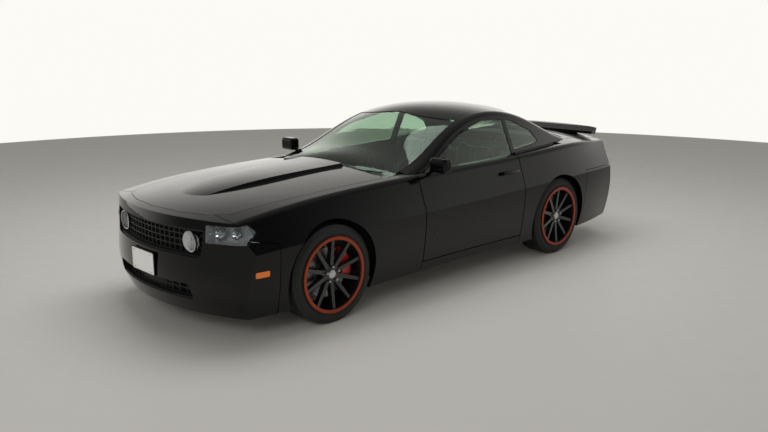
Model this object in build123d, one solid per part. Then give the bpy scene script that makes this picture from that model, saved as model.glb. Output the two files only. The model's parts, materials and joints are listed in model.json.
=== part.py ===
from build123d import *
from build123d.topology import SkipClean
from functools import cache
from math import asin, atan, cos, pi, radians, sin, tan
import os

# A two-door muscle coupe at its real size, in millimetres.
# The nose points along -Y, the left side is +X and up is +Z.
# The origin is on the ground, under the middle of the car's length and width.
# Faces stay as the booleans leave them.
SkipClean.clean = False

# Stance
FRONT_AXLE_Y = -1445.0
WHEELBASE = 2720.0
REAR_AXLE_Y = FRONT_AXLE_Y + WHEELBASE
TRACK_HALF = 790.0

# Tyres, rims and brakes
TYRE_R = 350.0
TYRE_W = 244.0
RIM_R = 256.0
RIM_WALL = 9.0
RIM_W = 236.0
LIP_H = 15.0
LIP_W = 9.0
SPOKE_COUNT = 10
HUB_R = 74.0
HUB_FACE = 40.0
DISC_R = 178.0
DISC_T = 30.0
HAT_R = 96.0
SPINDLE_R = 32.0
RUNNING_GAP = 0.05
CALIPER_ANGLE = 32.0
PAD_GAP = 5.0

# Body walls, gaps between panels and seats
PANEL_WALL = 30.0
DOOR_WALL = 80.0
QUARTER_WALL = 60.0
ROOF_WALL = 40.0
SHUT_GAP = 9.0
SEAM_GAP = 5.0
SEAT_GAP = 0.3
ARCH_R = 392.0
LINER_R = 442.0
LINER_T = 8.0
GLASS_T = 6.0
GLASS_SINK = 4.0

# Doors, lids and steering
DOOR_FRONT_Y = -520.0
DOOR_REAR_Y = 722.0
DOOR_FOOT_Z = 262.0
DOOR_PIN_X = 890.0
DOOR_PIN_Y = DOOR_FRONT_Y + 120.0
DOOR_HINGE_Z = (480.0, 650.0)
DOOR_PIN_R = 7.0
HINGE_ARM_H = 14.0
HOOD_REAR_Y = -800.0
HOOD_PIN = (-700.0, 870.0)
HOOD_ARM_X = 650.0
TRUNK_PIN = (1600.0, 975.0)
TRUNK_ARM_X = 520.0
LID_PIN_R = 8.0
TRUNK_FRONT_Y = 1838.0
REAR_GLASS_END_Y = TRUNK_FRONT_Y - 32.0
KINGPIN_IN = 85.0
KINGPIN_R = 12.0

# Lower body: one cross-section a row, half widths, from nose to tail.
# Columns: y, sill z, sill w, crease z, crease w, shoulder z, shoulder w, top z, shoulder radius
BODY_SECTIONS = (
    (-2440, 170, 770, 590, 856, 752, 770, 786, 60),
    (-1950, 170, 860, 615, 922, 836, 812, 882, 60),
    (FRONT_AXLE_Y, 175, 888, 640, 939, 888, 816, 934, 60),
    (-800, 180, 870, 650, 924, 918, 818, 974, 55),
    (0, 185, 855, 660, 914, 936, 824, 985, 55),
    (700, 185, 866, 682, 925, 956, 834, 1000, 55),
    (REAR_AXLE_Y, 190, 888, 705, 939, 984, 842, 1030, 60),
    (1900, 205, 862, 720, 918, 984, 800, 1042, 60),
    (2440, 250, 800, 720, 866, 962, 742, 1028, 60),
)
SIDE_BULGE = 14.0
LOWEST_ROUND = 8.0

# Cabin: half width at the belt, height of the pillar and roof edge, height on the centre line.
# Columns: y, belt w, edge z, centre z
CABIN_SECTIONS = (
    (-740, 772, 868, 936),
    (-450, 782, 975, 1079),
    (-150, 790, 1122, 1227),
    (120, 792, 1248, 1350),
    (450, 788, 1322, 1398),
    (850, 776, 1308, 1380),
    (1200, 752, 1204, 1286),
    (1550, 715, 1060, 1150),
    (1900, 670, 925, 1010),
)
BELT_Z = 930.0
CABIN_FOOT_Z = 700.0
TUMBLEHOME = 0.45
ROOF_EDGE_R = 70.0

# Nose and tail: how far the plan outline reaches at each height. Columns: z, y
NOSE_LEVELS = (
    (90, -2290), (240, -2362), (480, -2386), (640, -2374), (770, -2362), (900, -2320), (1080, -2240)
)
TAIL_LEVELS = (
    (140, 2290), (300, 2370), (480, 2389), (620, 2382), (760, 2350), (940, 2332), (1040, 2364), (1130, 2390)
)
NOSE_BOW, NOSE_CORNER = 1700.0, 380.0
TAIL_BOW, TAIL_CORNER = 3000.0, 320.0
FORM_HALF_W = 990.0


def mirrored(p):
    """The same point on the right side of the car."""
    return Vector(-p.X, p.Y, p.Z)


def mirror_right(shape):
    """The right-hand twin of a left-hand piece."""
    return shape.mirror(Plane.YZ)


def line(a, b):
    return Edge.make_line(a, b)


def arc(a, through, b):
    return Edge.make_three_point_arc(a, through, b)


def prism_x(outline, x0, x1, radius=0.0):
    """A side-view outline of (y, z) points, extruded from x0 to x1."""
    return prism([Vector(x0, y, z) for y, z in outline], Vector(x1 - x0, 0, 0), radius)


def prism_y(outline, y0, y1, radius=0.0):
    """A front-view outline of (x, z) points, extruded from y0 to y1."""
    return prism([Vector(x, y0, z) for x, z in outline], Vector(0, y1 - y0, 0), radius)


def prism_z(outline, z0, z1, radius=0.0):
    """A plan outline of (x, y) points, extruded from z0 to z1."""
    return prism([Vector(x, y, z0) for x, y in outline], Vector(0, 0, z1 - z0), radius)


def prism(points, along, radius):
    face = Face(Wire.make_polygon(points, close=True))
    if radius:
        face = face.fillet_2d(radius, face.vertices())
    return Solid.extrude(face, along)


def box(x0, x1, y0, y1, z0, z1):
    """A block between two corners."""
    return prism_z([(x0, y0), (x1, y0), (x1, y1), (x0, y1)], z0, z1)


def rod(start, end, radius):
    """A round bar from one point to another."""
    axis = Vector(*end) - Vector(*start)
    return Solid.make_cylinder(radius, axis.length, Plane(origin=start, z_dir=axis))


def ring_about_x(profile, x, y, z):
    """A profile of (offset along the axle, radius) edges or points, spun about an axle through x, y, z."""
    edges = profile if isinstance(profile[0], Edge) else None
    wire = Wire(edges) if edges else Wire.make_polygon([Vector(a, 0, r) for a, r in profile], close=True)
    spun = Solid.revolve(Face(wire), 360, Axis.X)
    return spun.moved(Location((x, y, z)))


def rounded_corner(corner, toward_a, toward_b, radius):
    """Start, middle and end of an arc of that radius in the corner between two directions."""
    a, b = toward_a.normalized(), toward_b.normalized()
    half = radians(a.get_angle(b)) / 2
    reach = radius / tan(half)
    middle = corner + (a + b).normalized() * (radius / sin(half) - radius)
    return corner + a * reach, middle, corner + b * reach


def crowned_top(edge, below, centre, radius):
    """Round from the side at edge into an arched top through centre: start, middle and end of the round."""
    slope = 2 * atan((centre.Z - edge.Z) / edge.X)
    for _ in range(8):
        points = rounded_corner(edge, below - edge, Vector(-cos(slope), 0, sin(slope)), radius)
        slope = 2 * atan((centre.Z - points[2].Z) / points[2].X)
    return points


def body_section(row, inset, lift):
    y, sill_z, sill_w, crease_z, crease_w, shoulder_z, shoulder_w, top_z, radius = row
    lean = (crease_w - shoulder_w) / (shoulder_z - crease_z)
    rise = lift - inset
    sill = Vector(sill_w - inset, y, sill_z - (1 if inset > 0 else 0))
    crease = Vector(crease_w - inset, y, crease_z)
    shoulder = Vector(shoulder_w - inset - lean * rise, y, shoulder_z + rise)
    top = Vector(0, y, top_z + rise)
    low, middle, high = crowned_top(shoulder, crease, top, max(radius - inset, LOWEST_ROUND))
    chord = crease - sill
    belly = (sill + crease) * 0.5 + Vector(chord.Z, 0, -chord.X).normalized() * SIDE_BULGE
    left = [arc(sill, belly, crease), line(crease, low), arc(low, middle, high)]
    right = [
        arc(mirrored(high), mirrored(middle), mirrored(low)),
        line(mirrored(low), mirrored(crease)),
        arc(mirrored(crease), mirrored(belly), mirrored(sill)),
    ]
    return Wire([line(mirrored(sill), sill), *left, arc(high, top, mirrored(high)), *right])


@cache
def body_loft(inset=0.0, lift=0.0):
    """The lower body's smooth form, drawn in by inset and with its top raised by lift."""
    return Solid.make_loft([body_section(row, inset, lift) for row in BODY_SECTIONS])


def cabin_section(row, inset):
    y, belt_w, edge_z, centre_z = row
    foot = Vector(
        belt_w + (BELT_Z - CABIN_FOOT_Z) * TUMBLEHOME - inset, y, CABIN_FOOT_Z - (1 if inset > 0 else 0)
    )
    edge = Vector(belt_w - (edge_z - inset - BELT_Z) * TUMBLEHOME - inset, y, edge_z - inset)
    centre = Vector(0, y, centre_z - inset)
    low, middle, high = crowned_top(edge, foot, centre, max(ROOF_EDGE_R - inset, LOWEST_ROUND))
    return Wire(
        [
            line(mirrored(foot), foot),
            line(foot, low),
            arc(low, middle, high),
            arc(high, centre, mirrored(high)),
            arc(mirrored(high), mirrored(middle), mirrored(low)),
            line(mirrored(low), mirrored(foot)),
        ]
    )


@cache
def cabin_loft(inset=0.0):
    """Windscreen, roof and rear window as one smooth form, drawn in by inset."""
    return Solid.make_loft([cabin_section(row, inset) for row in CABIN_SECTIONS])


def bow_section(z, tip_y, facing, bow, corner):
    """Plan outline at one height: a bowed end, rounded corners and straight sides back to mid-car."""
    turn = asin((FORM_HALF_W - corner) / (bow - corner))
    centre_y = tip_y - facing * bow
    knee = Vector(bow * sin(turn), centre_y + facing * bow * cos(turn), z)
    pivot_x, pivot_y = FORM_HALF_W - corner, centre_y + facing * (bow - corner) * cos(turn)
    half_turn = (turn + pi / 2) / 2
    bend = Vector(pivot_x + corner * sin(half_turn), pivot_y + facing * corner * cos(half_turn), z)
    side = Vector(FORM_HALF_W, pivot_y, z)
    back = Vector(FORM_HALF_W, 0, z)
    return Wire(
        [
            line(mirrored(back), back),
            line(back, side),
            arc(side, bend, knee),
            arc(knee, Vector(0, tip_y, z), mirrored(knee)),
            arc(mirrored(knee), mirrored(bend), mirrored(side)),
            line(mirrored(side), mirrored(back)),
        ]
    )


@cache
def nose_form(inset=0.0):
    return Solid.make_loft([bow_section(z, y + inset, -1, NOSE_BOW, NOSE_CORNER) for z, y in NOSE_LEVELS])


@cache
def tail_form(inset=0.0):
    return Solid.make_loft([bow_section(z, y - inset, 1, TAIL_BOW, TAIL_CORNER) for z, y in TAIL_LEVELS])


@cache
def front_form(inset=0.0):
    """The lower body ahead of mid-car, with its nose."""
    return body_loft(inset) & nose_form(inset)


@cache
def rear_form(inset=0.0):
    """The lower body behind mid-car, with its tail."""
    return body_loft(inset) & tail_form(inset)


def strap(points, width, x0, x1):
    """A bent flat bar in side view: straight runs of one width with round bends."""
    bar = rod((x0, *points[0]), (x1, *points[0]), width / 2)
    for (ya, za), (yb, zb) in zip(points, points[1:]):
        run = Vector(0, yb - ya, zb - za)
        side = Vector(0, -run.Z, run.Y).normalized() * (width / 2)
        a, b = Vector(x0, ya, za), Vector(x0, yb, zb)
        bar += prism([a + side, b + side, b - side, a - side], Vector(x1 - x0, 0, 0), 0)
        bar += rod((x0, yb, zb), (x1, yb, zb), width / 2)
    return bar


def both_sides(shape):
    """A left-hand piece and its right-hand twin as one node."""
    return Compound(children=[shape, mirror_right(shape)])


# Smooth forms that every panel is cut from
OUTER = body_loft()
FRONT_SHELL = front_form() - front_form(PANEL_WALL)
REAR_SHELL = rear_form() - rear_form(PANEL_WALL)
PANEL_SEAT = body_loft(PANEL_WALL + SEAT_GAP)
QUARTER_SEAT = body_loft(QUARTER_WALL + SEAT_GAP)
DOOR_VOID = body_loft(DOOR_WALL, 300)
ROCKER_SEAT = body_loft(DOOR_WALL + SEAT_GAP, 300)
CABIN_OUTER = cabin_loft()
GLASS_SHEET = cabin_loft(GLASS_SINK) - cabin_loft(GLASS_SINK + GLASS_T)

# Split lines. Side-view outlines are (y, z), plan outlines (x, y), front-view outlines (x, z).
BUMPER_BACK_Y = -1905.0
FRONT_BUMPER_SIDE = (
    (-2500, 100), (BUMPER_BACK_Y, 100), (BUMPER_BACK_Y, 652), (-2160, 700), (-2160, 1100), (-2500, 1100)
)
FENDER_SIDE = (
    (BUMPER_BACK_Y + SEAM_GAP, 100),
    (BUMPER_BACK_Y + SEAM_GAP, 656),
    (-2160 + SEAM_GAP, 704),
    (-2160 + SEAM_GAP, 1100),
    (DOOR_FRONT_Y - SHUT_GAP, 1100),
    (DOOR_FRONT_Y - SHUT_GAP, 100),
)
QUARTER_FRONT_Y = DOOR_REAR_Y + SHUT_GAP
REAR_BUMPER_Y = 1700.0
REAR_BUMPER_Z = 738.0
QUARTER_SIDE = (
    (QUARTER_FRONT_Y, 100),
    (QUARTER_FRONT_Y, 1100),
    (2500, 1100),
    (2500, REAR_BUMPER_Z + SEAM_GAP),
    (REAR_BUMPER_Y - SEAM_GAP, REAR_BUMPER_Z + SEAM_GAP),
    (REAR_BUMPER_Y - SEAM_GAP, 100),
)
DOOR_WINDOW = ((-528, 860), (-528, 890), (-150, 1070), (120, 1195), (450, 1266), (728, 1262), (728, 860))
DOOR_GLASS = ((-516, 860), (-516, 884), (-146, 1060), (123, 1185), (452, 1257), (719, 1253), (719, 860))
QUARTER_WINDOW = ((775, 1000), (775, 1258), (870, 1244), (1120, 1138), (1190, 1050), (1180, 1030))
WINDSCREEN_FRONT = ((-712, 850), (712, 850), (585, 1285), (0, 1338), (-585, 1285))
REAR_WINDOW_PLAN = ((-470, 935), (470, 935), (575, 1900), (-575, 1900))
HEADLAMP_SIDE = ((-2420, 655), (-2420, 772), (-2075, 790), (-2030, 740), (-2110, 668))
HEADLAMP_INNER_X = 600.0
UPPER_GRILLE = ((-566, 560), (566, 560), (598, 745), (-598, 745))
LOWER_GRILLE = ((-500, 270), (500, 270), (470, 375), (-470, 375))
TAIL_LAMP = ((456, 775), (850, 775), (850, 912), (456, 912))


def hood_plan(grow, rear_y):
    """The hood's outline from above, spread by grow, and straight on to rear_y behind its rear edge."""
    half = [
        (0, -2292 - grow), (300, -2262 - grow), (520, -2190 - grow), (640 + grow, -2080),
        (700 + grow, -1500), (724 + grow, HOOD_REAR_Y),
    ]
    if rear_y > HOOD_REAR_Y:
        half.append((724 + grow, rear_y))
    return [*half, *[(-x, y) for x, y in reversed(half[1:])]]


def trunk_outline(grow):
    """The trunk lid's outline from behind, spread by grow: a wide deck over a narrower drop."""
    wide, narrow, step, foot = 640 + grow, 446 + grow, 930 - grow, 748 - grow
    return [
        (-wide, 1200), (wide, 1200), (wide, step), (narrow, step), (narrow, foot), (-narrow, foot),
        (-narrow, step), (-wide, step),
    ]


def wheel_arch(axle_y, radius):
    return rod((0, axle_y, TYRE_R), (1000, axle_y, TYRE_R), radius)


def opening(outline, grow):
    """A front-view opening spread by grow: a negative grow gives the piece that fits it."""
    mid_z = (outline[0][1] + outline[2][1]) / 2
    return [(x + (grow if x > 0 else -grow), z + (grow if z > mid_z else -grow)) for x, z in outline]


# Bumpers, fenders, quarters and rockers
headlamp_space = prism_x(HEADLAMP_SIDE, HEADLAMP_INNER_X, 1000, 12)
marker_space = prism_x(((-2085, 452), (-2085, 492), (-1985, 492), (-1985, 452)), 500, 1000, 8)
front_bumper = FRONT_SHELL & prism_x(FRONT_BUMPER_SIDE, -1000, 1000)
front_bumper -= [
    prism_z(hood_plan(SEAM_GAP, HOOD_REAR_Y), 600, 1100),
    prism_y(UPPER_GRILLE, -2500, -2150, 26),
    prism_y(LOWER_GRILLE, -2500, -2150, 20),
    headlamp_space,
    mirror_right(headlamp_space),
    marker_space,
    mirror_right(marker_space),
]

fender = FRONT_SHELL & prism_x(FENDER_SIDE, 0, 1000)
fender -= [prism_z(hood_plan(SEAM_GAP, -500), 600, 1100), wheel_arch(FRONT_AXLE_Y, ARCH_R), headlamp_space]

SHELF_FRONT_Y = 1480.0
trunk_gap = prism_y(trunk_outline(SHUT_GAP), TRUNK_FRONT_Y - 300, 2500)
lamp_space = prism_y(TAIL_LAMP, 2210, 2500, 22)
quarter_block = rear_form() & prism_x(QUARTER_SIDE, 0, 1000)
behind_shelf = box(-1000, 1000, SHELF_FRONT_Y, 2500, 0, 1200)
quarter = (quarter_block - behind_shelf) - body_loft(QUARTER_WALL, 300)
quarter += (quarter_block & behind_shelf) - rear_form(QUARTER_WALL)
quarter -= [
    trunk_gap, box(0, 640 + SEAM_GAP, 1400, TRUNK_FRONT_Y, 900, 1100), wheel_arch(REAR_AXLE_Y, ARCH_R),
    lamp_space,
]

TAILPIPE_X, TAILPIPE_Z, TAILPIPE_R = 560.0, 225.0, 40.0
rear_bumper = REAR_SHELL & box(-1000, 1000, REAR_BUMPER_Y, 2500, 100, REAR_BUMPER_Z)
rear_bumper -= [
    rod((s * TAILPIPE_X, 1600, TAILPIPE_Z), (s * TAILPIPE_X, 2500, TAILPIPE_Z), TAILPIPE_R + 22)
    for s in (1, -1)
]

door_block = OUTER & box(0, 1000, DOOR_FRONT_Y - SHUT_GAP + SEAM_GAP, QUARTER_FRONT_Y - SEAM_GAP, 100, 1200)
door_block -= DOOR_VOID
rocker = door_block & box(0, 1000, -1000, 1000, 0, DOOR_FOOT_Z - SHUT_GAP)

# Roof and pillars, with the windscreen, rear window and side windows cut through
PILLAR_FOOT_Y, SAIL_TIP_Y = -592.0, 1712.0
roof = (CABIN_OUTER & box(-1000, 1000, PILLAR_FOOT_Y, SAIL_TIP_Y, 600, 1500)) - cabin_loft(ROOF_WALL) - OUTER
roof -= [
    prism_y(WINDSCREEN_FRONT, -800, 300, 30),
    prism_z(REAR_WINDOW_PLAN, 900, 1500, 40),
    prism_x(DOOR_WINDOW, -1000, 1000),
    prism_x(QUARTER_WINDOW, -1000, 1000, 4),
]
EDGE = 0.5
windscreen = GLASS_SHEET & prism_y(
    [(x * (1 - EDGE / 600), z - EDGE * (z > 900)) for x, z in WINDSCREEN_FRONT], -800, 299, 30
)
windscreen -= body_loft(45 - SEAT_GAP)
rear_window = GLASS_SHEET & prism_z(
    [(x - EDGE * (1 if x > 0 else -1), y + EDGE) for x, y in REAR_WINDOW_PLAN], 900, 1500, 40
)
rear_window -= [body_loft(-SEAT_GAP), box(-700, 700, REAR_GLASS_END_Y, 2000, 900, 1100)]
quarter_glass = GLASS_SHEET & prism_x(QUARTER_WINDOW, 0, 1000, 4)
door_glass = (GLASS_SHEET & prism_x(DOOR_GLASS, 0, 1000)) - body_loft(-SEAT_GAP)

# Hood with its raised centre and hinge arms, kneed to pass under the windscreen's foot
# Columns: y, half width, rise over the hood
BULGE_SECTIONS = ((-2200, 150, -16), (-1900, 215, 14), (-1400, 262, 30), (HOOD_REAR_Y + 20, 286, 26))
HOOD_TOP = ((-2200, 836), (-1900, 888), (-1400, 937), (HOOD_REAR_Y + 20, 975))


def bulge_section(row, top):
    y, half_w, rise = row
    low, high = top[1] - 26, top[1] + rise
    return Wire(
        [
            line(Vector(-half_w, y, low), Vector(half_w, y, low)),
            line(Vector(half_w, y, low), Vector(half_w - 34, y, high - 8)),
            arc(Vector(half_w - 34, y, high - 8), Vector(0, y, high), Vector(34 - half_w, y, high - 8)),
            line(Vector(34 - half_w, y, high - 8), Vector(-half_w, y, low)),
        ]
    )


hood = FRONT_SHELL & prism_z(hood_plan(0, HOOD_REAR_Y), 600, 1100)
bulge = Solid.make_loft([bulge_section(row, top) for row, top in zip(BULGE_SECTIONS, HOOD_TOP)])
hood += bulge & prism_z(hood_plan(0, HOOD_REAR_Y), 600, 1100)
hood_knee = (HOOD_PIN[0] - 41, HOOD_PIN[1] - 30.5)
hood_arm = strap((HOOD_PIN, hood_knee, (-855, 918)), 22, HOOD_ARM_X - 10, HOOD_ARM_X + 10)
hood_arm -= rod((HOOD_ARM_X - 20, *HOOD_PIN), (HOOD_ARM_X + 20, *HOOD_PIN), LID_PIN_R + 0.2)
hood += [hood_arm, mirror_right(hood_arm)]

# Trunk lid with its lip and hinge arms, whose necks run round the pin clear of the shelf's rear edge
trunk_lid = REAR_SHELL & prism_y(trunk_outline(0), TRUNK_FRONT_Y, 2500)
pin_y, pin_z = TRUNK_PIN
NECK_R = TRUNK_FRONT_Y + 14 - pin_y
neck = [
    (pin_y + NECK_R * cos(radians(turn)), pin_z + NECK_R * sin(radians(turn)))
    for turn in (-67, -49, -31, -13, 6)
]
trunk_arm = strap((TRUNK_PIN, *neck), 22, TRUNK_ARM_X - 8, TRUNK_ARM_X + 8)
trunk_arm -= rod((TRUNK_ARM_X - 20, *TRUNK_PIN), (TRUNK_ARM_X + 20, *TRUNK_PIN), LID_PIN_R + 0.2)
SPOILER_SIDE = (
    (2216, 1018), (2216, 1044), (2330, 1084), (2386, 1090), (2386, 1078), (2352, 1062), (2340, 1010)
)
SPOILER_BACK = ((-640, 900), (640, 900), (640, 1060), (600, 1200), (-600, 1200), (-640, 1060))
spoiler = prism_x(SPOILER_SIDE, -700, 700) & tail_form(2) & prism_y(SPOILER_BACK, 2000, 2500)
trunk_lid += [trunk_arm, mirror_right(trunk_arm), spoiler]

# Doors: a thick shell with hinge slots and bores, frameless glass and a mirror
door = door_block & box(0, 1000, DOOR_FRONT_Y, DOOR_REAR_Y, DOOR_FOOT_Z, 1200)
SLOT_H = HINGE_ARM_H + 6
hinge_cuts = []
for hinge_z in DOOR_HINGE_Z:
    low, high = hinge_z - SLOT_H, hinge_z + SLOT_H
    slot = box(600, DOOR_PIN_X + 8, DOOR_FRONT_Y - 20, DOOR_PIN_Y, low, high)
    slot += box(600, DOOR_PIN_X, DOOR_PIN_Y, DOOR_PIN_Y + 16, low, high)
    slot += rod((DOOR_PIN_X, DOOR_PIN_Y, low), (DOOR_PIN_X, DOOR_PIN_Y, high), 18.5)
    slot += rod((DOOR_PIN_X, DOOR_PIN_Y, low - 16), (DOOR_PIN_X, DOOR_PIN_Y, high + 16), DOOR_PIN_R + 0.2)
    hinge_cuts.append(slot)
door -= hinge_cuts
MIRROR_X, MIRROR_Y, MIRROR_Z = 930.0, -400.0, 1000.0
mirror = Solid.make_box(170, 92, 112)
mirror = mirror.fillet(26, mirror.edges()).moved(Location((MIRROR_X - 75, MIRROR_Y - 46, MIRROR_Z - 50)))
mirror += rod((MIRROR_X - 40, MIRROR_Y + 6, MIRROR_Z - 20), (800, MIRROR_Y + 6, 920), 17)
mirror -= OUTER

# Cowl under the windscreen, with wells and pins for the hood's hinges
cowl = (body_loft(45) & box(-600, 600, HOOD_REAR_Y - 60, -560, 600, 1100)) - body_loft(75)
well = box(588, 724, HOOD_REAR_Y - 60, -600, 812, 826)
well += box(588, 600, HOOD_REAR_Y - 60, -600, 812, 876)
well += box(663, 677, HOOD_PIN[0] - 16, HOOD_PIN[0] + 16, 820, HOOD_PIN[1] + 16)
well += rod((677, *HOOD_PIN), (638, *HOOD_PIN), LID_PIN_R)
cowl += [well, mirror_right(well)]

# Shelf behind the rear window, with the seat under the glass's foot and the pins for the trunk lid's hinges
rear_shelf = REAR_SHELL & box(-640, 640, SHELF_FRONT_Y, TRUNK_FRONT_Y - SHUT_GAP, 900, 1100)
bracket = box(531, 545, TRUNK_PIN[0] - 18, TRUNK_PIN[0] + 18, TRUNK_PIN[1] - 18, 1000)
bracket += rod((545, *TRUNK_PIN), (509, *TRUNK_PIN), LID_PIN_R)
glass_seat = cabin_loft(GLASS_SINK + GLASS_T + SEAT_GAP)
glass_seat &= box(-540, 540, REAR_GLASS_END_Y - 30, REAR_GLASS_END_Y, 1000, 1100)
rear_shelf += [bracket, mirror_right(bracket), glass_seat]

# Floor structure: floor pan, tunnel, bulkheads, rails, hinge and latch pillars
FLOOR_Z, FLOOR_T = 205.0, 16.0
RAIL_X, RAIL_W, RAIL_Z, RAIL_H = 395.0, 73.0, 480.0, 100.0
TUNNEL_W, TUNNEL_Z = 150.0, 420.0
FIREWALL_Y = -765.0
TRUNK_FLOOR_Z = 510.0
JACK_PAD_Y = (-380.0, 600.0)
JACK_PAD_X, JACK_PAD_W, JACK_PAD_L, JACK_PAD_Z = 700.0, 60.0, 110.0, 165.0
tunnel_space = box(-TUNNEL_W, TUNNEL_W, -2000, 2000, 0, TUNNEL_Z)
pan = (box(-1000, 1000, FIREWALL_Y, 815, FLOOR_Z, FLOOR_Z + FLOOR_T) & ROCKER_SEAT) - tunnel_space
middle = [
    box(-TUNNEL_W - 12, TUNNEL_W + 12, FIREWALL_Y, 1000, FLOOR_Z, TUNNEL_Z + 12) - tunnel_space,
    box(-720, 720, FIREWALL_Y, FIREWALL_Y + 14, FLOOR_Z, 800) - tunnel_space,
    box(-555, 555, 800, 1000, FLOOR_Z, FLOOR_Z + FLOOR_T) - tunnel_space,
    box(-555, 555, 986, 1000, FLOOR_Z, TRUNK_FLOOR_Z) - tunnel_space,
    box(-555.7, 555.7, 986, 2240, TRUNK_FLOOR_Z - 14, TRUNK_FLOOR_Z),
    box(-555, 555, 1332, 1346, TRUNK_FLOOR_Z - 5, 968),
    box(-640, 640, -2400, -2180, 440, 540) & nose_form(PANEL_WALL + SEAT_GAP),
    box(-600, 600, 2226, 2400, 400, 500) & tail_form(PANEL_WALL + SEAT_GAP),
]
left = [
    box(RAIL_X, RAIL_X + RAIL_W, -2190, FIREWALL_Y, RAIL_Z, RAIL_Z + RAIL_H),
    box(640, 728, FIREWALL_Y, -340, FLOOR_Z, 730),
    box(600, 690, FIREWALL_Y, -340, 700, 800),
    box(640, 1000, 745, 812, FLOOR_Z, 930) & body_loft(QUARTER_WALL + SEAT_GAP, 300),
]
for hinge_z in DOOR_HINGE_Z:
    pin = (DOOR_PIN_X, DOOR_PIN_Y)
    low, high = hinge_z - HINGE_ARM_H, hinge_z + HINGE_ARM_H
    left.append(box(720, DOOR_PIN_X, DOOR_PIN_Y - 9, DOOR_PIN_Y + 9, low, high))
    left.append(rod((*pin, low), (*pin, high), 13))
    left.append(rod((*pin, low - 20), (*pin, high + 20), DOOR_PIN_R))
# Jacking pads under the floor's edges, behind the front wheels and ahead of the rear ones
for pad_y in JACK_PAD_Y:
    x0, y0 = JACK_PAD_X - JACK_PAD_W / 2, pad_y - JACK_PAD_L / 2
    left.append(box(x0, x0 + JACK_PAD_W, y0, y0 + JACK_PAD_L, JACK_PAD_Z, FLOOR_Z + 4))
floor = pan + [*middle, *left, *[mirror_right(piece) for piece in left]]


# Wheelhouse liners
def liner(axle_y, inner_x, seat):
    tube = rod((inner_x, axle_y, TYRE_R), (1000, axle_y, TYRE_R), LINER_R + LINER_T)
    tube -= rod((0, axle_y, TYRE_R), (1100, axle_y, TYRE_R), LINER_R)
    return (tube & seat) - box(0, 1100, axle_y - 600, axle_y + 600, 0, 230)


front_liner = liner(FRONT_AXLE_Y, RAIL_X + RAIL_W + SEAT_GAP, PANEL_SEAT)
rear_liner = liner(REAR_AXLE_Y, 556, QUARTER_SEAT)
inner_wall = rod((556, REAR_AXLE_Y, TYRE_R), (566, REAR_AXLE_Y, TYRE_R), LINER_R + LINER_T)
rear_liner += inner_wall - box(0, 1000, 0, 2500, -200, TRUNK_FLOOR_Z - 14)

# Grilles, lamps and markers
def lattice(outline, z_pitch, x_pitch, bar):
    """Openings left between the bars of a grille."""
    holes = []
    z_low, z_high = outline[0][1] + 12, outline[2][1] - 12
    rows = int((z_high - z_low) // z_pitch)
    pitch = (z_high - z_low) / rows
    half = min(abs(x) for x, _ in outline) - 14
    columns = int(2 * half // x_pitch)
    step = 2 * half / columns
    for r in range(rows):
        for c in range(columns):
            x0, z0 = -half + c * step + bar / 2, z_low + r * pitch + bar / 2
            holes.append(box(x0, x0 + step - bar, -2500, -2000, z0, z0 + pitch - bar))
    return holes


DRIVING_LAMP_X, DRIVING_LAMP_Z, DRIVING_LAMP_R = 455.0, 652.0, 72.0
GRILLE_FACE_Y = -2328.0
GRILLE_T, GRILLE_BAND_T = 16.0, 44.0


def bowed_sheet(face_y, thickness):
    """An upright sheet with the nose's bow, its front at face_y on the centre line."""
    axis_y = face_y + NOSE_BOW
    sheet = rod((0, axis_y, 200), (0, axis_y, 800), NOSE_BOW) - rod(
        (0, axis_y, 190), (0, axis_y, 810), NOSE_BOW - thickness
    )
    return sheet & box(-700, 700, -2500, -2000, 150, 850)


lamp_holes = [
    rod(
        (s * DRIVING_LAMP_X, -2500, DRIVING_LAMP_Z), (s * DRIVING_LAMP_X, -2000, DRIVING_LAMP_Z),
        DRIVING_LAMP_R + SEAT_GAP,
    )
    for s in (1, -1)
]


def grille(outline, radius, z_pitch, x_pitch, bar):
    """A lattice in a frame that fits an opening of the bumper."""
    lattice_holes = lattice(outline, z_pitch, x_pitch, bar)
    mesh = (
        bowed_sheet(GRILLE_FACE_Y, GRILLE_T) & prism_y(opening(outline, -EDGE), -2500, -2000, radius)
    ) - lattice_holes
    band = prism_y(opening(outline, -EDGE), -2500, -2000, radius) - prism_y(
        opening(outline, -10), -2500, -2000, radius - 10
    )
    return mesh + (bowed_sheet(GRILLE_FACE_Y - 36, GRILLE_BAND_T) & band)


upper_grille = grille(UPPER_GRILLE, 26, 40, 52, 9) - lamp_holes
lower_grille = grille(LOWER_GRILLE, 20, 30, 70, 8)
driving_lamp = rod(
    (DRIVING_LAMP_X, -2500, DRIVING_LAMP_Z), (DRIVING_LAMP_X, -2000, DRIVING_LAMP_Z), DRIVING_LAMP_R
)
driving_lamp &= bowed_sheet(GRILLE_FACE_Y - 12, 60)
headlamp = prism_x(HEADLAMP_SIDE, HEADLAMP_INNER_X + EDGE, 1000, 12) & body_loft(3) & nose_form(3)
headlamp -= front_form(PANEL_WALL)
marker = (
    prism_x(((-2084.5, 452.5), (-2084.5, 491.5), (-1985.5, 491.5), (-1985.5, 452.5)), 500, 1000, 8)
    & body_loft(-3)
) - body_loft(20)
tail_lamp = body_loft(3) & tail_form(3) & prism_y(
    [(x + (EDGE if x < 600 else -EDGE), z + (EDGE if z < 800 else -EDGE)) for x, z in TAIL_LAMP], 2210,
    2500, 22,
)
tail_lamp -= rear_form(PANEL_WALL)

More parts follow.
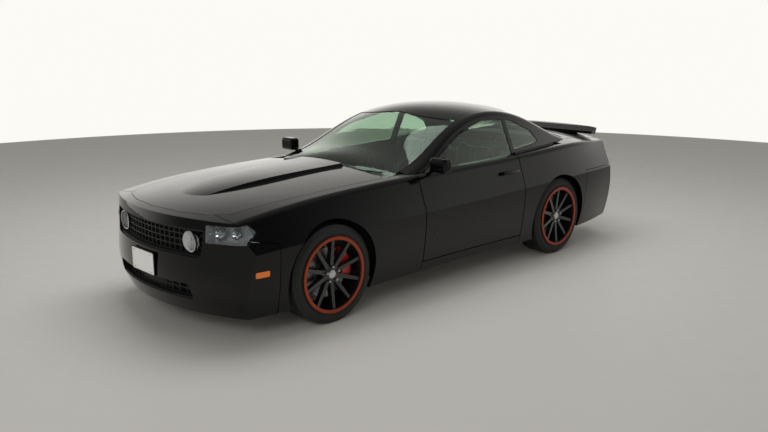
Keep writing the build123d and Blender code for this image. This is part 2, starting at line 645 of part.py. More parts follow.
# Engine, driveline, cooling and exhaust
SUBFRAME_Z = 262.0
subframe = box(-420, 420, FRONT_AXLE_Y - 120, FRONT_AXLE_Y + 120, 178, SUBFRAME_Z)
for side in (1, -1):
    inner, outer = sorted((side * 360, side * 430))
    subframe += box(inner, outer, FRONT_AXLE_Y - 60, FRONT_AXLE_Y + 60, 178, RAIL_Z)
engine = prism_y(
    [
        (-170, SUBFRAME_Z), (170, SUBFRAME_Z), (300, 560), (300, 720), (190, 800), (-190, 800),
        (-300, 720), (-300, 560),
    ],
    -1690, -960,
)
driveline = Solid.make_cone(120, 85, 560, Plane(origin=(0, -960, 300), z_dir=(0, 1, 0)))
driveline += rod((0, -400, 300), (0, -60, 300), 85)
driveline += rod((0, -70, 300), (0, REAR_AXLE_Y - 133.3, 340), 38)
radiator = box(-394.7, 394.7, -2070, -2010, 300, 740)
PIPE_X, PIPE_R = 120.0, 24.0
exhaust_half = rod((PIPE_X, -900, TAILPIPE_Z), (PIPE_X, 1480, TAILPIPE_Z), PIPE_R)
exhaust_half += Solid.make_sphere(PIPE_R).moved(Location((PIPE_X, 1480, TAILPIPE_Z)))
exhaust_half += rod((PIPE_X, 1480, TAILPIPE_Z), (TAILPIPE_X, 1760, TAILPIPE_Z), PIPE_R)
muffler = box(TAILPIPE_X - 110, TAILPIPE_X + 110, 1730, 2150, TAILPIPE_Z - 65, TAILPIPE_Z + 65)
exhaust_half += muffler.fillet(50, muffler.edges().filter_by(Axis.Y))
exhaust_half += rod((TAILPIPE_X, 2140, TAILPIPE_Z), (TAILPIPE_X, 2384, TAILPIPE_Z), TAILPIPE_R)
exhaust_half -= rod((TAILPIPE_X, 2200, TAILPIPE_Z), (TAILPIPE_X, 2400, TAILPIPE_Z), TAILPIPE_R - 4)
exhaust_half += box(
    TAILPIPE_X - 40, TAILPIPE_X - 10, 1900, 1960, TAILPIPE_Z + 50, TRUNK_FLOOR_Z - 14 - SEAT_GAP
)
fuel_tank = box(-330, 330, 1720, 2100, 270, TRUNK_FLOOR_Z - 14)
fuel_tank = fuel_tank.fillet(40, fuel_tank.edges().filter_by(Axis.Y))

# Suspension
KINGPIN_X = TRACK_HALF - KINGPIN_IN
LOWER_ARM_Z, UPPER_ARM_Z, ARM_T = 196.0, 486.0, 30.0
lower_arm = prism_z(
    [
        (420.3, FRONT_AXLE_Y - 90), (KINGPIN_X, FRONT_AXLE_Y - 26), (KINGPIN_X, FRONT_AXLE_Y + 26),
        (420.3, FRONT_AXLE_Y + 90),
    ],
    LOWER_ARM_Z, LOWER_ARM_Z + ARM_T,
)
lower_arm += rod((KINGPIN_X, FRONT_AXLE_Y, LOWER_ARM_Z), (KINGPIN_X, FRONT_AXLE_Y, LOWER_ARM_Z + ARM_T), 32)
lower_arm += rod((KINGPIN_X, FRONT_AXLE_Y, LOWER_ARM_Z), (KINGPIN_X, FRONT_AXLE_Y, 270), KINGPIN_R)
lower_arm -= box(0, 430.3, -2000, -1000, 0, 1000)
lower_arm += box(420.3 + 10, 440, FRONT_AXLE_Y - 90, FRONT_AXLE_Y + 90, LOWER_ARM_Z, LOWER_ARM_Z + ARM_T)
upper_inner = RAIL_X + RAIL_W + SEAT_GAP
upper_arm = prism_z(
    [
        (upper_inner, FRONT_AXLE_Y - 60), (KINGPIN_X, FRONT_AXLE_Y - 24), (KINGPIN_X, FRONT_AXLE_Y + 24),
        (upper_inner, FRONT_AXLE_Y + 60),
    ],
    UPPER_ARM_Z, UPPER_ARM_Z + ARM_T,
)
upper_arm += rod((KINGPIN_X, FRONT_AXLE_Y, UPPER_ARM_Z), (KINGPIN_X, FRONT_AXLE_Y, UPPER_ARM_Z + ARM_T), 30)
upper_arm += rod((KINGPIN_X, FRONT_AXLE_Y, 440), (KINGPIN_X, FRONT_AXLE_Y, UPPER_ARM_Z + ARM_T), KINGPIN_R)

rear_axle = rod((-(TRACK_HALF - 70), REAR_AXLE_Y, TYRE_R), (TRACK_HALF - 70, REAR_AXLE_Y, TYRE_R), 42)
rear_axle += Solid.make_sphere(140).moved(Location((0, REAR_AXLE_Y, TYRE_R)))
spring = box(470, 535, REAR_AXLE_Y - 60, REAR_AXLE_Y + 60, 385, TRUNK_FLOOR_Z - 14 - SEAT_GAP)
rear_axle += [spring, mirror_right(spring)]
trailing_arm = box(400, 440, 1000 + SEAT_GAP, REAR_AXLE_Y, 320, 360)
rear_axle += [trailing_arm, mirror_right(trailing_arm)]
CALIPER_IN, CALIPER_OUT = -34.0, 52.0


def caliper_piece(axle_y, heading):
    """Half-ring block straddling the disc on the left side, centred on a heading in degrees from +Y."""
    ring = [(CALIPER_IN, 128), (CALIPER_OUT, 128), (CALIPER_OUT, 206), (CALIPER_IN, 206)]
    block = ring_about_x(ring, TRACK_HALF, axle_y, TYRE_R)
    reach = 400
    fan = [(axle_y, TYRE_R)]
    for turn in (-CALIPER_ANGLE, CALIPER_ANGLE):
        fan.append(
            (axle_y + reach * cos(radians(heading + turn)), TYRE_R + reach * sin(radians(heading + turn)))
        )
    block &= prism_x(fan, 0, 1000)
    slot = [
        (-PAD_GAP - 2, 100), (DISC_T + PAD_GAP - 2, 100), (DISC_T + PAD_GAP - 2, DISC_R + 6),
        (-PAD_GAP - 2, DISC_R + 6),
    ]
    return block - ring_about_x(slot, TRACK_HALF, axle_y, TYRE_R)


def caliper_mount(axle_y, heading, x0):
    """A plate from the axle line out to the caliper's inner face."""
    tip = (axle_y + 165 * cos(radians(heading)), TYRE_R + 165 * sin(radians(heading)))
    return strap(((axle_y, TYRE_R), tip), 56, x0, TRACK_HALF + CALIPER_IN - SEAT_GAP)


def spindle(axle_y, inner_x):
    return rod(
        (inner_x, axle_y, TYRE_R), (TRACK_HALF + HUB_FACE - 4, axle_y, TYRE_R), SPINDLE_R - RUNNING_GAP
    )


FRONT_CALIPER, REAR_CALIPER = 20.0, 160.0
knuckle = box(
    KINGPIN_X - 34, KINGPIN_X + 34, FRONT_AXLE_Y - 34, FRONT_AXLE_Y + 34, LOWER_ARM_Z + ARM_T + 5,
    UPPER_ARM_Z - 5,
)
knuckle += spindle(FRONT_AXLE_Y, KINGPIN_X)
knuckle += caliper_mount(FRONT_AXLE_Y, FRONT_CALIPER, TRACK_HALF + CALIPER_IN - 22)
for low, high in ((LOWER_ARM_Z, 280), (430, UPPER_ARM_Z + ARM_T)):
    knuckle -= rod((KINGPIN_X, FRONT_AXLE_Y, low), (KINGPIN_X, FRONT_AXLE_Y, high), KINGPIN_R + 0.2)
hub_carrier = spindle(REAR_AXLE_Y, TRACK_HALF - 72) + caliper_mount(
    REAR_AXLE_Y, REAR_CALIPER, TRACK_HALF + CALIPER_IN - 22
)
rear_axle += [hub_carrier, mirror_right(hub_carrier)]
rear_axle -= rod((0, REAR_AXLE_Y - 200, 340), (0, REAR_AXLE_Y - 132, 340), 50)
front_caliper = caliper_piece(FRONT_AXLE_Y, FRONT_CALIPER)
rear_caliper = caliper_piece(REAR_AXLE_Y, REAR_CALIPER)

# Wheels, drawn for the left side about the axle line at the origin
BEAD = 110.0
half_w = TYRE_W / 2
tyre_edges = [
    line(Vector(-BEAD, 0, RIM_R + SEAT_GAP), Vector(BEAD, 0, RIM_R + SEAT_GAP)),
    arc(Vector(BEAD, 0, RIM_R + SEAT_GAP), Vector(half_w, 0, 300), Vector(half_w - 12, 0, TYRE_R - 10)),
    arc(
        Vector(half_w - 12, 0, TYRE_R - 10), Vector(half_w - 17, 0, TYRE_R - 4),
        Vector(half_w - 26, 0, TYRE_R - 1),
    ),
    arc(Vector(half_w - 26, 0, TYRE_R - 1), Vector(0, 0, TYRE_R), Vector(26 - half_w, 0, TYRE_R - 1)),
    arc(
        Vector(26 - half_w, 0, TYRE_R - 1), Vector(17 - half_w, 0, TYRE_R - 4),
        Vector(12 - half_w, 0, TYRE_R - 10),
    ),
    arc(Vector(12 - half_w, 0, TYRE_R - 10), Vector(-half_w, 0, 300), Vector(-BEAD, 0, RIM_R + SEAT_GAP)),
]
tyre = ring_about_x(tyre_edges, 0, 0, 0)
half_rim = RIM_W / 2
rim_profile = [
    (-half_rim - LIP_W, RIM_R - RIM_WALL),
    (half_rim + LIP_W, RIM_R - RIM_WALL),
    (half_rim + LIP_W, RIM_R + LIP_H),
    (half_rim + 3, RIM_R + LIP_H),
    (half_rim, RIM_R),
    (-half_rim, RIM_R),
    (-half_rim - 3, RIM_R + LIP_H),
    (-half_rim - LIP_W, RIM_R + LIP_H),
]
rim = ring_about_x(rim_profile, 0, 0, 0)
rim += ring_about_x([(HUB_FACE, 0), (90, 0), (98, 30), (94, 52), (80, HUB_R), (HUB_FACE, HUB_R)], 0, 0, 0)


def spoke(angle):
    """A tapered spoke from the hub out to the barrel."""
    inner = Wire.make_polygon(
        [Vector(54, -21, 50), Vector(92, -15, 50), Vector(92, 15, 50), Vector(54, 21, 50)], close=True
    )
    outer = Wire.make_polygon(
        [
            Vector(84, -17, RIM_R - 4), Vector(114, -11, RIM_R - 4), Vector(114, 11, RIM_R - 4),
            Vector(84, 17, RIM_R - 4),
        ],
        close=True,
    )
    return Solid.make_loft([inner, outer], True).rotate(Axis.X, angle)


rim += [spoke(360 / SPOKE_COUNT * i) for i in range(SPOKE_COUNT)]
disc = ring_about_x([(0, HAT_R), (DISC_T - 2, HAT_R), (DISC_T - 2, DISC_R), (0, DISC_R)], 0, 0, 0)
hat = [
    (-2, SPINDLE_R), (HUB_FACE - SEAT_GAP, SPINDLE_R), (HUB_FACE - SEAT_GAP, HAT_R + 2), (0, HAT_R + 2),
    (0, HAT_R - 8), (HUB_FACE - 10, HAT_R - 8), (HUB_FACE - 10, SPINDLE_R + 18), (-2, SPINDLE_R + 18),
]
disc += ring_about_x(hat, 0, 0, 0)

# Cabin: dashboard, seats, console and steering wheel
DASH_SIDE = (
    (FIREWALL_Y + 14.3, 560), (FIREWALL_Y + 14.3, 786), (-690, 838), (-420, 870), (-350, 846), (-370, 760),
    (-430, 640), (-560, 560),
)
dashboard = prism_x(DASH_SIDE, -584, 584)
column = rod((370, -420, 720), (370, -165, 800), 32)
dashboard += column
STEER_TILT = 72.0
wheel_ring = Solid.make_torus(172, 16)
wheel_ring += Solid.make_cylinder(52, 34).moved(Location((0, 0, -20)))
for angle in (0, 180, 270):
    wheel_ring += box(40, 168, -16, 16, -8, 6).rotate(Axis.Z, angle)
steering_wheel = wheel_ring.rotate(Axis.X, STEER_TILT).moved(Location((370, -140, 807)))
steering_wheel -= column
console = box(-120, 120, FIREWALL_Y + 200, 640, TUNNEL_Z + 12, TUNNEL_Z + 90)
console = console.fillet(20, console.edges().filter_by(Axis.Y))
SEAT_SIDE = (
    (30, 290), (10, 395), (60, 432), (470, 400), (560, 470), (640, 800), (690, 1010), (770, 1010),
    (740, 800), (660, 420), (610, 290),
)
seat = prism_x(SEAT_SIDE, 180, 600, 24)
seat += box(210, 570, 80, 540, FLOOR_Z + FLOOR_T, 300)
SEAT_FOOT = TRUNK_FLOOR_Z
REAR_SEAT_SIDE = (
    (850, SEAT_FOOT),
    (840, 556),
    (870, 574),
    (1120, 552),
    (1180, 590),
    (1286, 890),
    (1331.7, 890),
    (1331.7, SEAT_FOOT),
)
rear_seat = prism_x(REAR_SEAT_SIDE, -540, 540)
rear_seat += box(-540, 540, 860, 985.7, FLOOR_Z + FLOOR_T, SEAT_FOOT + 1) - box(
    -TUNNEL_W - 12.3, TUNNEL_W + 12.3, 0, 2000, 0, TUNNEL_Z + 12.3
)

WHEEL_PLACES = {
    "front_left": (FRONT_AXLE_Y, 1),
    "front_right": (FRONT_AXLE_Y, -1),
    "rear_left": (REAR_AXLE_Y, 1),
    "rear_right": (REAR_AXLE_Y, -1),
}
NODES = {
    "floor_structure": floor,
    "front_bumper": front_bumper,
    "rear_bumper": rear_bumper,
    "fender_left": fender,
    "fender_right": mirror_right(fender),
    "quarter_left": quarter,
    "quarter_right": mirror_right(quarter),
    "rockers": both_sides(rocker),
    "roof_frame": roof,
    "windscreen": windscreen,
    "rear_window": rear_window,
    "quarter_windows": both_sides(quarter_glass),
    "cowl": cowl,
    "rear_shelf": rear_shelf,
    "front_liners": both_sides(front_liner),
    "rear_liners": both_sides(rear_liner),
    "upper_grille": upper_grille,
    "lower_grille": lower_grille,
    "driving_lamps": both_sides(driving_lamp),
    "headlamps": both_sides(headlamp),
    "side_markers": both_sides(marker),
    "tail_lamps": both_sides(tail_lamp),
    "subframe": subframe,
    "engine": engine,
    "driveline": driveline,
    "radiator": radiator,
    "exhaust": both_sides(exhaust_half),
    "fuel_tank": fuel_tank,
    "front_arms": Compound(children=[lower_arm, upper_arm, mirror_right(lower_arm), mirror_right(upper_arm)]),
    "rear_axle": rear_axle,
    "rear_calipers": both_sides(rear_caliper),
    "dashboard": dashboard,
    "steering_wheel": steering_wheel,
    "console": console,
    "front_seats": both_sides(seat),
    "rear_seat": rear_seat,
    "hood": hood,
    "trunk_lid": trunk_lid,
    "door_left": door,
    "door_right": mirror_right(door),
    "door_glass_left": door_glass,
    "door_glass_right": mirror_right(door_glass),
    "mirror_left": mirror,
    "mirror_right": mirror_right(mirror),
    "knuckle_left": knuckle,
    "knuckle_right": mirror_right(knuckle),
    "caliper_left": front_caliper,
    "caliper_right": mirror_right(front_caliper),
}
for place, (axle_y, side) in WHEEL_PLACES.items():
    spot = Location((side * TRACK_HALF, axle_y, TYRE_R), (0, 0, 0 if side > 0 else 180))
    NODES["tyre_" + place] = tyre.moved(spot)
    NODES["rim_" + place] = rim.moved(spot)
    NODES["disc_" + place] = disc.moved(spot)

os.makedirs("parts", exist_ok=True)
for name, shape in NODES.items():
    export_step(shape, "parts/" + name + ".step")
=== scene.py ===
import json
from math import cos, exp, pi, radians, sin

import bmesh
import bpy
from mathutils import Matrix, Vector
from mathutils.bvhtree import BVHTree

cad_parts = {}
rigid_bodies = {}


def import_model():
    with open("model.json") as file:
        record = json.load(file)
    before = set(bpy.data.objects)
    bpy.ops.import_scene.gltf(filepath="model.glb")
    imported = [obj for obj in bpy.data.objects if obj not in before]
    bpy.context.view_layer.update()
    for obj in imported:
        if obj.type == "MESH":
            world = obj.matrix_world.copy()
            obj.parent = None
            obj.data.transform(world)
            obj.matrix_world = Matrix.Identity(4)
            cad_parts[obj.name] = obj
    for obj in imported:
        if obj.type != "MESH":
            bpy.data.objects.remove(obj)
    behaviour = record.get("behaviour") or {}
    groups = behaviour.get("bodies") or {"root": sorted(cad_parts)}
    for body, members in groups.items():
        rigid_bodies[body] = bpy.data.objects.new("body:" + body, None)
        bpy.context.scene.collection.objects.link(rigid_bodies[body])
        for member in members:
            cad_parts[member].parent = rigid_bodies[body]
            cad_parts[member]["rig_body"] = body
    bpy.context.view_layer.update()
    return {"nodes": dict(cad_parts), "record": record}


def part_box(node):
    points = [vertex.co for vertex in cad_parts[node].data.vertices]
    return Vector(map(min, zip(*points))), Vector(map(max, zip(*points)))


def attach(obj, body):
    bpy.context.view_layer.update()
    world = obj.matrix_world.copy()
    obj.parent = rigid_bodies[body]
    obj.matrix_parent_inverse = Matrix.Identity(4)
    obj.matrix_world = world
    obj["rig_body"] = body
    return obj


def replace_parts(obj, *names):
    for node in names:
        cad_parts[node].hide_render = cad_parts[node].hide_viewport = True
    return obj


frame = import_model()

bl_info = {
    "name": "Muscle Car",
    "version": (1, 0, 0),
    "blender": (4, 5, 0),
    "location": "View3D > Sidebar > Muscle Car",
    "description": "Paint, glass, wheels, lamps and trim for a fastback muscle coupe",
    "category": "Object",
}

MM = 0.001
WELD = 0.01 * MM
FLOOR_RADIUS = 11.5
# Where rays at the car start from, in metres, well outside it
FAR_AHEAD, FAR_BEHIND, FAR_ABOVE, FAR_ASIDE = -3.0, 3.0, 2.0, 2.0
# The colour inputs and the result of a Mix node, which share their names with its other types
MIX_A, MIX_B, MIX_RESULT = 6, 7, 2
# Bands in one unit of a Wave texture at scale 2 pi, and the lamp flutes' spacing in metres
WAVE_TURNS, FLUTE_PITCH = 20, 0.007
HANDLE_Z, VALANCE_Z, QUARTER_X = 0.835, 0.27, 0.79
HOUSING_DEPTH = 75 * MM
GROOVE_DEPTH, GROOVE_HALF, BOLSTER_RISE = 6 * MM, 5 * MM, 20 * MM
# How far cloth pressure may lift a seat, the pressure and the frames that it runs for
SWELL_CAP, SWELL_FORCE, SWELL_FRAMES = 10 * MM, 4, 20
SIDES = (("left", 1), ("right", -1))
WHEELS = ("front_left", "front_right", "rear_left", "rear_right")


def linear(hex_colour):
    """An sRGB hex colour as linear red, green, blue and alpha."""
    channels = [int(hex_colour[i : i + 2], 16) / 255 for i in (1, 3, 5)]
    return (*[c / 12.92 if c <= 0.04045 else ((c + 0.055) / 1.055) ** 2.4 for c in channels], 1.0)


def colour_property(name, hex_colour, description):
    return bpy.props.FloatVectorProperty(
        name=name, description=description, size=4, min=0, max=1, subtype="COLOR", default=linear(hex_colour)
    )


def length_property(name, millimetres, description):
    return bpy.props.FloatProperty(
        name=name, description=description, min=0, unit="LENGTH", subtype="DISTANCE", default=millimetres * MM
    )


class CarColours(bpy.types.PropertyGroup):
    """Colours that a user would change."""

    paint: colour_property("Paint", "#070708", "Body colour under the clear coat")
    lip: colour_property("Wheel lip", "#A04426", "Copper-red ring on the outer lip of each rim")
    caliper: colour_property("Calipers", "#B01A14", "Brake caliper paint")
    glass: colour_property("Glass", "#CDE4D2", "Tint of the windows")
    leather: colour_property("Leather", "#1D1C1C", "Seat covers")
    plate: colour_property("Plates", "#E9E9E6", "Bare plate blanks")
    floor: colour_property("Floor", "#C2C0BB", "Studio floor")
    wall: colour_property("Wall", "#FCFAF5", "Studio walls")
    ceiling: colour_property("Ceiling", "#8C8B88", "Studio ceiling")


class CarSizes(bpy.types.PropertyGroup):
    """Sizes that a user would change."""

    lip_width: length_property("Lip ring width", 21, "How far the copper ring reaches in from the rim's edge")
    tread_depth: length_property("Tread depth", 7, "Depth of the tread's grooves")
    plate_width: length_property("Plate width", 300, "Width of the blank plates")
    plate_height: length_property("Plate height", 150, "Height of the blank plates")
    lens: bpy.props.FloatProperty(
        name="Camera lens", description="Focal length on a 36 mm sensor", default=36.4, min=5, max=200
    )


def colours():
    return bpy.context.scene.car_colours


def sizes():
    return bpy.context.scene.car_sizes


def add_node(tree, kind, inputs=None, **settings):
    """One shader node with its settings, and its inputs given as values or as sockets to link."""
    node = tree.nodes.new(kind)
    for key, value in settings.items():
        setattr(node, key, value)
    for key, value in (inputs or {}).items():
        if isinstance(value, bpy.types.NodeSocket):
            tree.links.new(value, node.inputs[key])
        else:
            node.inputs[key].default_value = value
    return node


def new_material(name, **sockets):
    """A named material: its tree, its shader with those socket values, and Object coordinates."""
    material = bpy.data.materials.new(name)
    material.use_nodes = True
    tree = material.node_tree
    shader = tree.nodes["Principled BSDF"]
    for key, value in sockets.items():
        shader.inputs[key.replace("_", " ")].default_value = value
    place = add_node(tree, "ShaderNodeTexCoord").outputs["Object"]
    return material, tree, shader, place


def emboss(tree, shader, height, height_mm, strength):
    """A bump of that height from a texture's output."""
    push = {"Height": height, "Distance": height_mm * MM, "Strength": strength}
    bump = add_node(tree, "ShaderNodeBump", push)
    tree.links.new(bump.outputs["Normal"], shader.inputs["Normal"])


def grain(tree, shader, place, size_mm, height_mm, low, high, detail=2.0):
    """Uneven roughness from low to high and a matching bump, from one noise of that grain size."""
    noise = add_node(tree, "ShaderNodeTexNoise", {"Vector": place, "Scale": 1000 / size_mm, "Detail": detail})
    span = {"Value": noise.outputs["Fac"], "From Min": 0.3, "From Max": 0.7, "To Min": low, "To Max": high}
    spread = add_node(tree, "ShaderNodeMapRange", span)
    tree.links.new(spread.outputs["Result"], shader.inputs["Roughness"])
    emboss(tree, shader, noise.outputs["Fac"], height_mm, 1.0)
    return noise


# Columns: key, material, hex colour or the user's colour, shader values, and the grain: its size and height
# in mm, lowest and highest roughness and, where it isn't 2, detail
FINISHES = (
    # Black base coat under clear coat: deep and mirror-like, with faint polishing haze
    (
        "paint", "black_paint", "paint",
        dict(Coat_Weight=1.0, Coat_Roughness=0.015, Coat_IOR=1.34, Specular_IOR_Level=0.05),
        (180, 0.0, 0.16, 0.24),
    ),
    # Vulcanised rubber: dark grey-black, dull, with fine mould grain
    ("tyre", "tyre_rubber", "#1C1C1D", {}, (3, 0.12, 0.62, 0.8)),
    # Gloss black powder coat on cast rims
    (
        "rim", "black_powder_coat", "#101011",
        dict(Coat_Weight=0.6, Coat_Roughness=0.08), (1.5, 0.02, 0.25, 0.36),
    ),
    # Copper-red anodised aluminium: metal with a warm tint and fine turning marks
    ("lip", "copper_anodised_aluminium", "lip", dict(Metallic=0.75), (4, 0.01, 0.24, 0.34)),
    # Machined cast iron of the brake discs
    ("disc", "machined_iron", "#8F8F91", dict(Metallic=1.0), (2, 0.02, 0.3, 0.46)),
    # Red caliper enamel
    ("caliper", "red_enamel", "caliper", dict(Coat_Weight=0.5, Coat_Roughness=0.1), (6, 0.05, 0.3, 0.42)),
    # Clear polycarbonate lamp lens
    ("lens", "clear_polycarbonate", "#EEF1F2", dict(IOR=1.58, Transmission_Weight=1.0), (60, 0.0, 0.0, 0.03)),
    # Vacuum-coated reflector: bright aluminium film
    ("reflector", "reflector_film", "#DADDE0", dict(Metallic=1.0), (12, 0.02, 0.06, 0.14)),
    # Amber and red acrylic lenses
    ("amber", "amber_acrylic", "#E0701A", dict(Coat_Weight=0.6, Coat_Roughness=0.05), (8, 0.05, 0.16, 0.26)),
    ("red_lens", "red_acrylic", "#8E0B0B", dict(Coat_Weight=0.6, Coat_Roughness=0.05), (8, 0.05, 0.16, 0.26)),
    # Grained black polypropylene of grilles, liners, cowl and lower trim
    ("black_plastic", "grained_black_plastic", "#161617", {}, (1.6, 0.12, 0.48, 0.66, 4.0)),
    # Rough cast iron
    ("iron", "cast_iron", "#3C3D3F", dict(Metallic=0.7), (3, 0.35, 0.5, 0.72, 4.0)),
    # Brushed stainless exhaust tube, a little heat-stained
    ("steel", "stainless_steel", "#A7A49E", dict(Metallic=1.0), (5, 0.03, 0.2, 0.38)),
    # Extruded EPDM rubber of seals and wipers: flat black
    ("rubber", "seal_rubber", "#131314", {}, (2, 0.05, 0.55, 0.7)),
    # Satin cast aluminium: bright, softly blurred
    ("satin_alloy", "satin_aluminium", "#C9CBCD", dict(Metallic=1.0), (3, 0.02, 0.22, 0.34)),
    # Moulded satin black of dials, vents and engine covers
    ("lamp_black", "satin_black_moulding", "#0C0C0D", {}, (1.2, 0.02, 0.3, 0.42)),
    # Smoked chrome of the headlamp housings
    ("dark_chrome", "smoked_chrome", "#CCCFD2", dict(Metallic=0.4), (14, 0.02, 0.18, 0.3)),
    # Unlit display glass: black and glossy
    ("dark_glass", "display_glass", "#060708", dict(Coat_Weight=0.5), (40, 0.0, 0.05, 0.1)),
    # Needled carpet of floor, shelf and linings: dark grey, matt and fuzzy
    ("carpet", "needled_carpet", "#222224", dict(Sheen_Weight=0.3), (2.5, 0.8, 0.85, 0.97, 6.0)),
    # Silvered mirror glass
    ("mirror", "silvered_glass", "#D7DBDE", dict(Metallic=1.0), (90, 0.0, 0.0, 0.03)),
    # Natural polythene of the fluid tanks: milky white
    ("polythene", "natural_polythene", "#CFCDC2", dict(Subsurface_Weight=0.2), (5, 0.05, 0.4, 0.52)),
    # Painted aluminium plate blank
    ("plate", "painted_plate", "plate", {}, (20, 0.05, 0.32, 0.44)),
)


def make_materials():
    """Every finish on the car, by the name of what it is."""
    c = colours()
    made = {}
    for key, name, colour, values, marks in FINISHES:
        tint = linear(colour) if colour.startswith("#") else getattr(c, colour)
        made[key], tree, shader, place = new_material(name, Base_Color=tint, **values)
        grain(tree, shader, place, *marks)

    # Laminated window glass with a light green tint
    made["glass"], tree, shader, place = new_material(
        "tinted_glass", Base_Color=c.glass, Roughness=0.0, IOR=1.5, Transmission_Weight=1.0
    )
    haze = add_node(tree, "ShaderNodeTexNoise", {"Vector": place, "Scale": 1000 / 260, "Detail": 3.0})
    span = {"Value": haze.outputs["Fac"], "To Min": 0.0, "To Max": 0.03}
    spread = add_node(tree, "ShaderNodeMapRange", span)
    tree.links.new(spread.outputs["Result"], shader.inputs["Roughness"])

    # Satin chassis enamel over pressed steel, dusty in patches
    made["chassis"], tree, shader, place = new_material("chassis_enamel", Metallic=0.1)
    noise = grain(tree, shader, place, 40, 0.1, 0.4, 0.7, detail=5.0)
    clean, dusty = linear("#232426"), linear("#3A3936")
    dust = add_node(
        tree, "ShaderNodeMix", {"Factor": noise.outputs["Fac"], MIX_A: clean, MIX_B: dusty}, data_type="RGBA"
    )
    tree.links.new(dust.outputs[MIX_RESULT], shader.inputs["Base Color"])

    # Black full-grain leather with fine pebble
    material, tree, shader, place = new_material(
        "black_leather", Base_Color=c.leather, Sheen_Weight=0.15, Roughness=0.46
    )
    cells = add_node(tree, "ShaderNodeTexVoronoi", {"Vector": place, "Scale": 1000 / 3.5})
    emboss(tree, shader, cells.outputs["Distance"], 0.35, 0.7)
    made["leather"] = made["trim"] = material

    # Pressed lamp glass with upright flutes
    made["fluted_lens"], tree, shader, place = new_material(
        "fluted_glass", Base_Color=linear("#F2F4F4"), Roughness=0.02, IOR=1.5, Transmission_Weight=1.0
    )
    waves = {"Vector": place, "Scale": 2 * pi / WAVE_TURNS / FLUTE_PITCH}
    flutes = add_node(tree, "ShaderNodeTexWave", waves, bands_direction="X")
    emboss(tree, shader, flutes.outputs["Fac"], 1.2, 0.8)
    return made


# The record's slot of a material that isn't called after its slot
MATERIALS = {}
SURFACES = {}
SHARP_ANGLE, SOFT_ANGLE = radians(32), radians(60)
HERE = Matrix.Identity(4)
ACROSS = Vector((1, 0, 0))
X_TO_Z = Matrix.Rotation(-pi / 2, 4, "Y")
CABIN = Vector((0, 0.35, 0.85))


def finish_mesh(shape, name, material, body="body", sharp=SHARP_ANGLE):
    """A bmesh, or several with their places, turned into a smooth-shaded object that rides on a CAD body."""
    bm = gather(shape) if isinstance(shape, list) else shape
    mesh = bpy.data.meshes.new(name)
    for face in bm.faces:
        face.smooth = True
    for edge in bm.edges:
        edge.smooth = len(edge.link_faces) == 2 and edge.calc_face_angle(0) < sharp
    bm.to_mesh(mesh)
    bm.free()
    mesh.materials.append(MATERIALS[material])
    piece = bpy.data.objects.new(name, mesh)
    bpy.context.scene.collection.objects.link(piece)
    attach(piece, body)
    return piece


def body_of(node):
    return frame["nodes"][node]["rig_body"]


def merged(node):
    """A bmesh copy of a CAD node with its loose triangles joined."""
    bm = bmesh.new()
    bm.from_mesh(frame["nodes"][node].data)
    bmesh.ops.remove_doubles(bm, verts=bm.verts, dist=WELD)
    return bm


def dress_node(node, material):
    """Gives a CAD node, whose shape and normals are right, its finish."""
    for slot in frame["nodes"][node].material_slots:
        slot.material = MATERIALS[material]


def touch(node, start, toward):
    """Where a ray from a point first meets a CAD node, and the surface's way out there."""
    if node not in SURFACES:
        mesh = frame["nodes"][node].data
        corners = [v.co for v in mesh.vertices]
        SURFACES[node] = BVHTree.FromPolygons(corners, [p.vertices for p in mesh.polygons])
    hit, normal, _, _ = SURFACES[node].ray_cast(Vector(start), Vector(toward).normalized())
    if hit is None:
        raise RuntimeError(f"{node} isn't met from {tuple(start)}")
    return hit, normal


def spun(profile, steps):
    """A bmesh ring: a profile of (along the axle, radius) points turned about the X axis."""
    bm = bmesh.new()
    verts = [bm.verts.new((x, 0, r)) for x, r in profile]
    edges = [bm.edges.new((a, b)) for a, b in zip(verts, verts[1:] + verts[:1])]
    bmesh.ops.spin(
        bm, geom=verts + edges, cent=(0, 0, 0), axis=(1, 0, 0), angle=2 * pi, steps=steps, use_merge=True
    )
    bmesh.ops.remove_doubles(bm, verts=bm.verts, dist=WELD)
    bmesh.ops.recalc_face_normals(bm, faces=bm.faces)
    return bm


def turned(rows, steps, radius=0.0):
    """A ring spun from rows of (along the axle, radius) in mm, where a radius counts from one in metres."""
    return spun([(a * MM, max(radius + r * MM, 0.1 * MM)) for a, r in rows], steps)


def bevel(bm, edges, radius, segments=3):
    """Rounds edges to a radius in mm."""
    bmesh.ops.bevel(
        bm, geom=edges, offset=radius * MM, offset_type="OFFSET", segments=segments, profile=0.5,
        affect="EDGES", material=-1, clamp_overlap=True,
    )


def block(size, radius, segments=3):
    """A box of that size in mm, with all its edges rounded."""
    bm = bmesh.new()
    bmesh.ops.create_cube(bm, size=1)
    bmesh.ops.scale(bm, vec=[side * MM for side in size], verts=bm.verts)
    bevel(bm, bm.edges[:], radius, segments)
    return bm


def rise_of(edge):
    return abs(edge.verts[0].co.z - edge.verts[1].co.z)


def slab(size, corner, edge):
    """A plate in X and Y, in mm, with rounded corners and a small round along its rims."""
    bm = bmesh.new()
    bmesh.ops.create_cube(bm, size=1)
    bmesh.ops.scale(bm, vec=[side * MM for side in size], verts=bm.verts)
    height = size[2] * MM
    bevel(bm, [e for e in bm.edges if rise_of(e) > height / 2], corner, 5)
    rims = [e for e in bm.edges if rise_of(e) < height / 4 and e.calc_face_angle(0) > 1]
    bevel(bm, rims, edge, 2)
    return bm


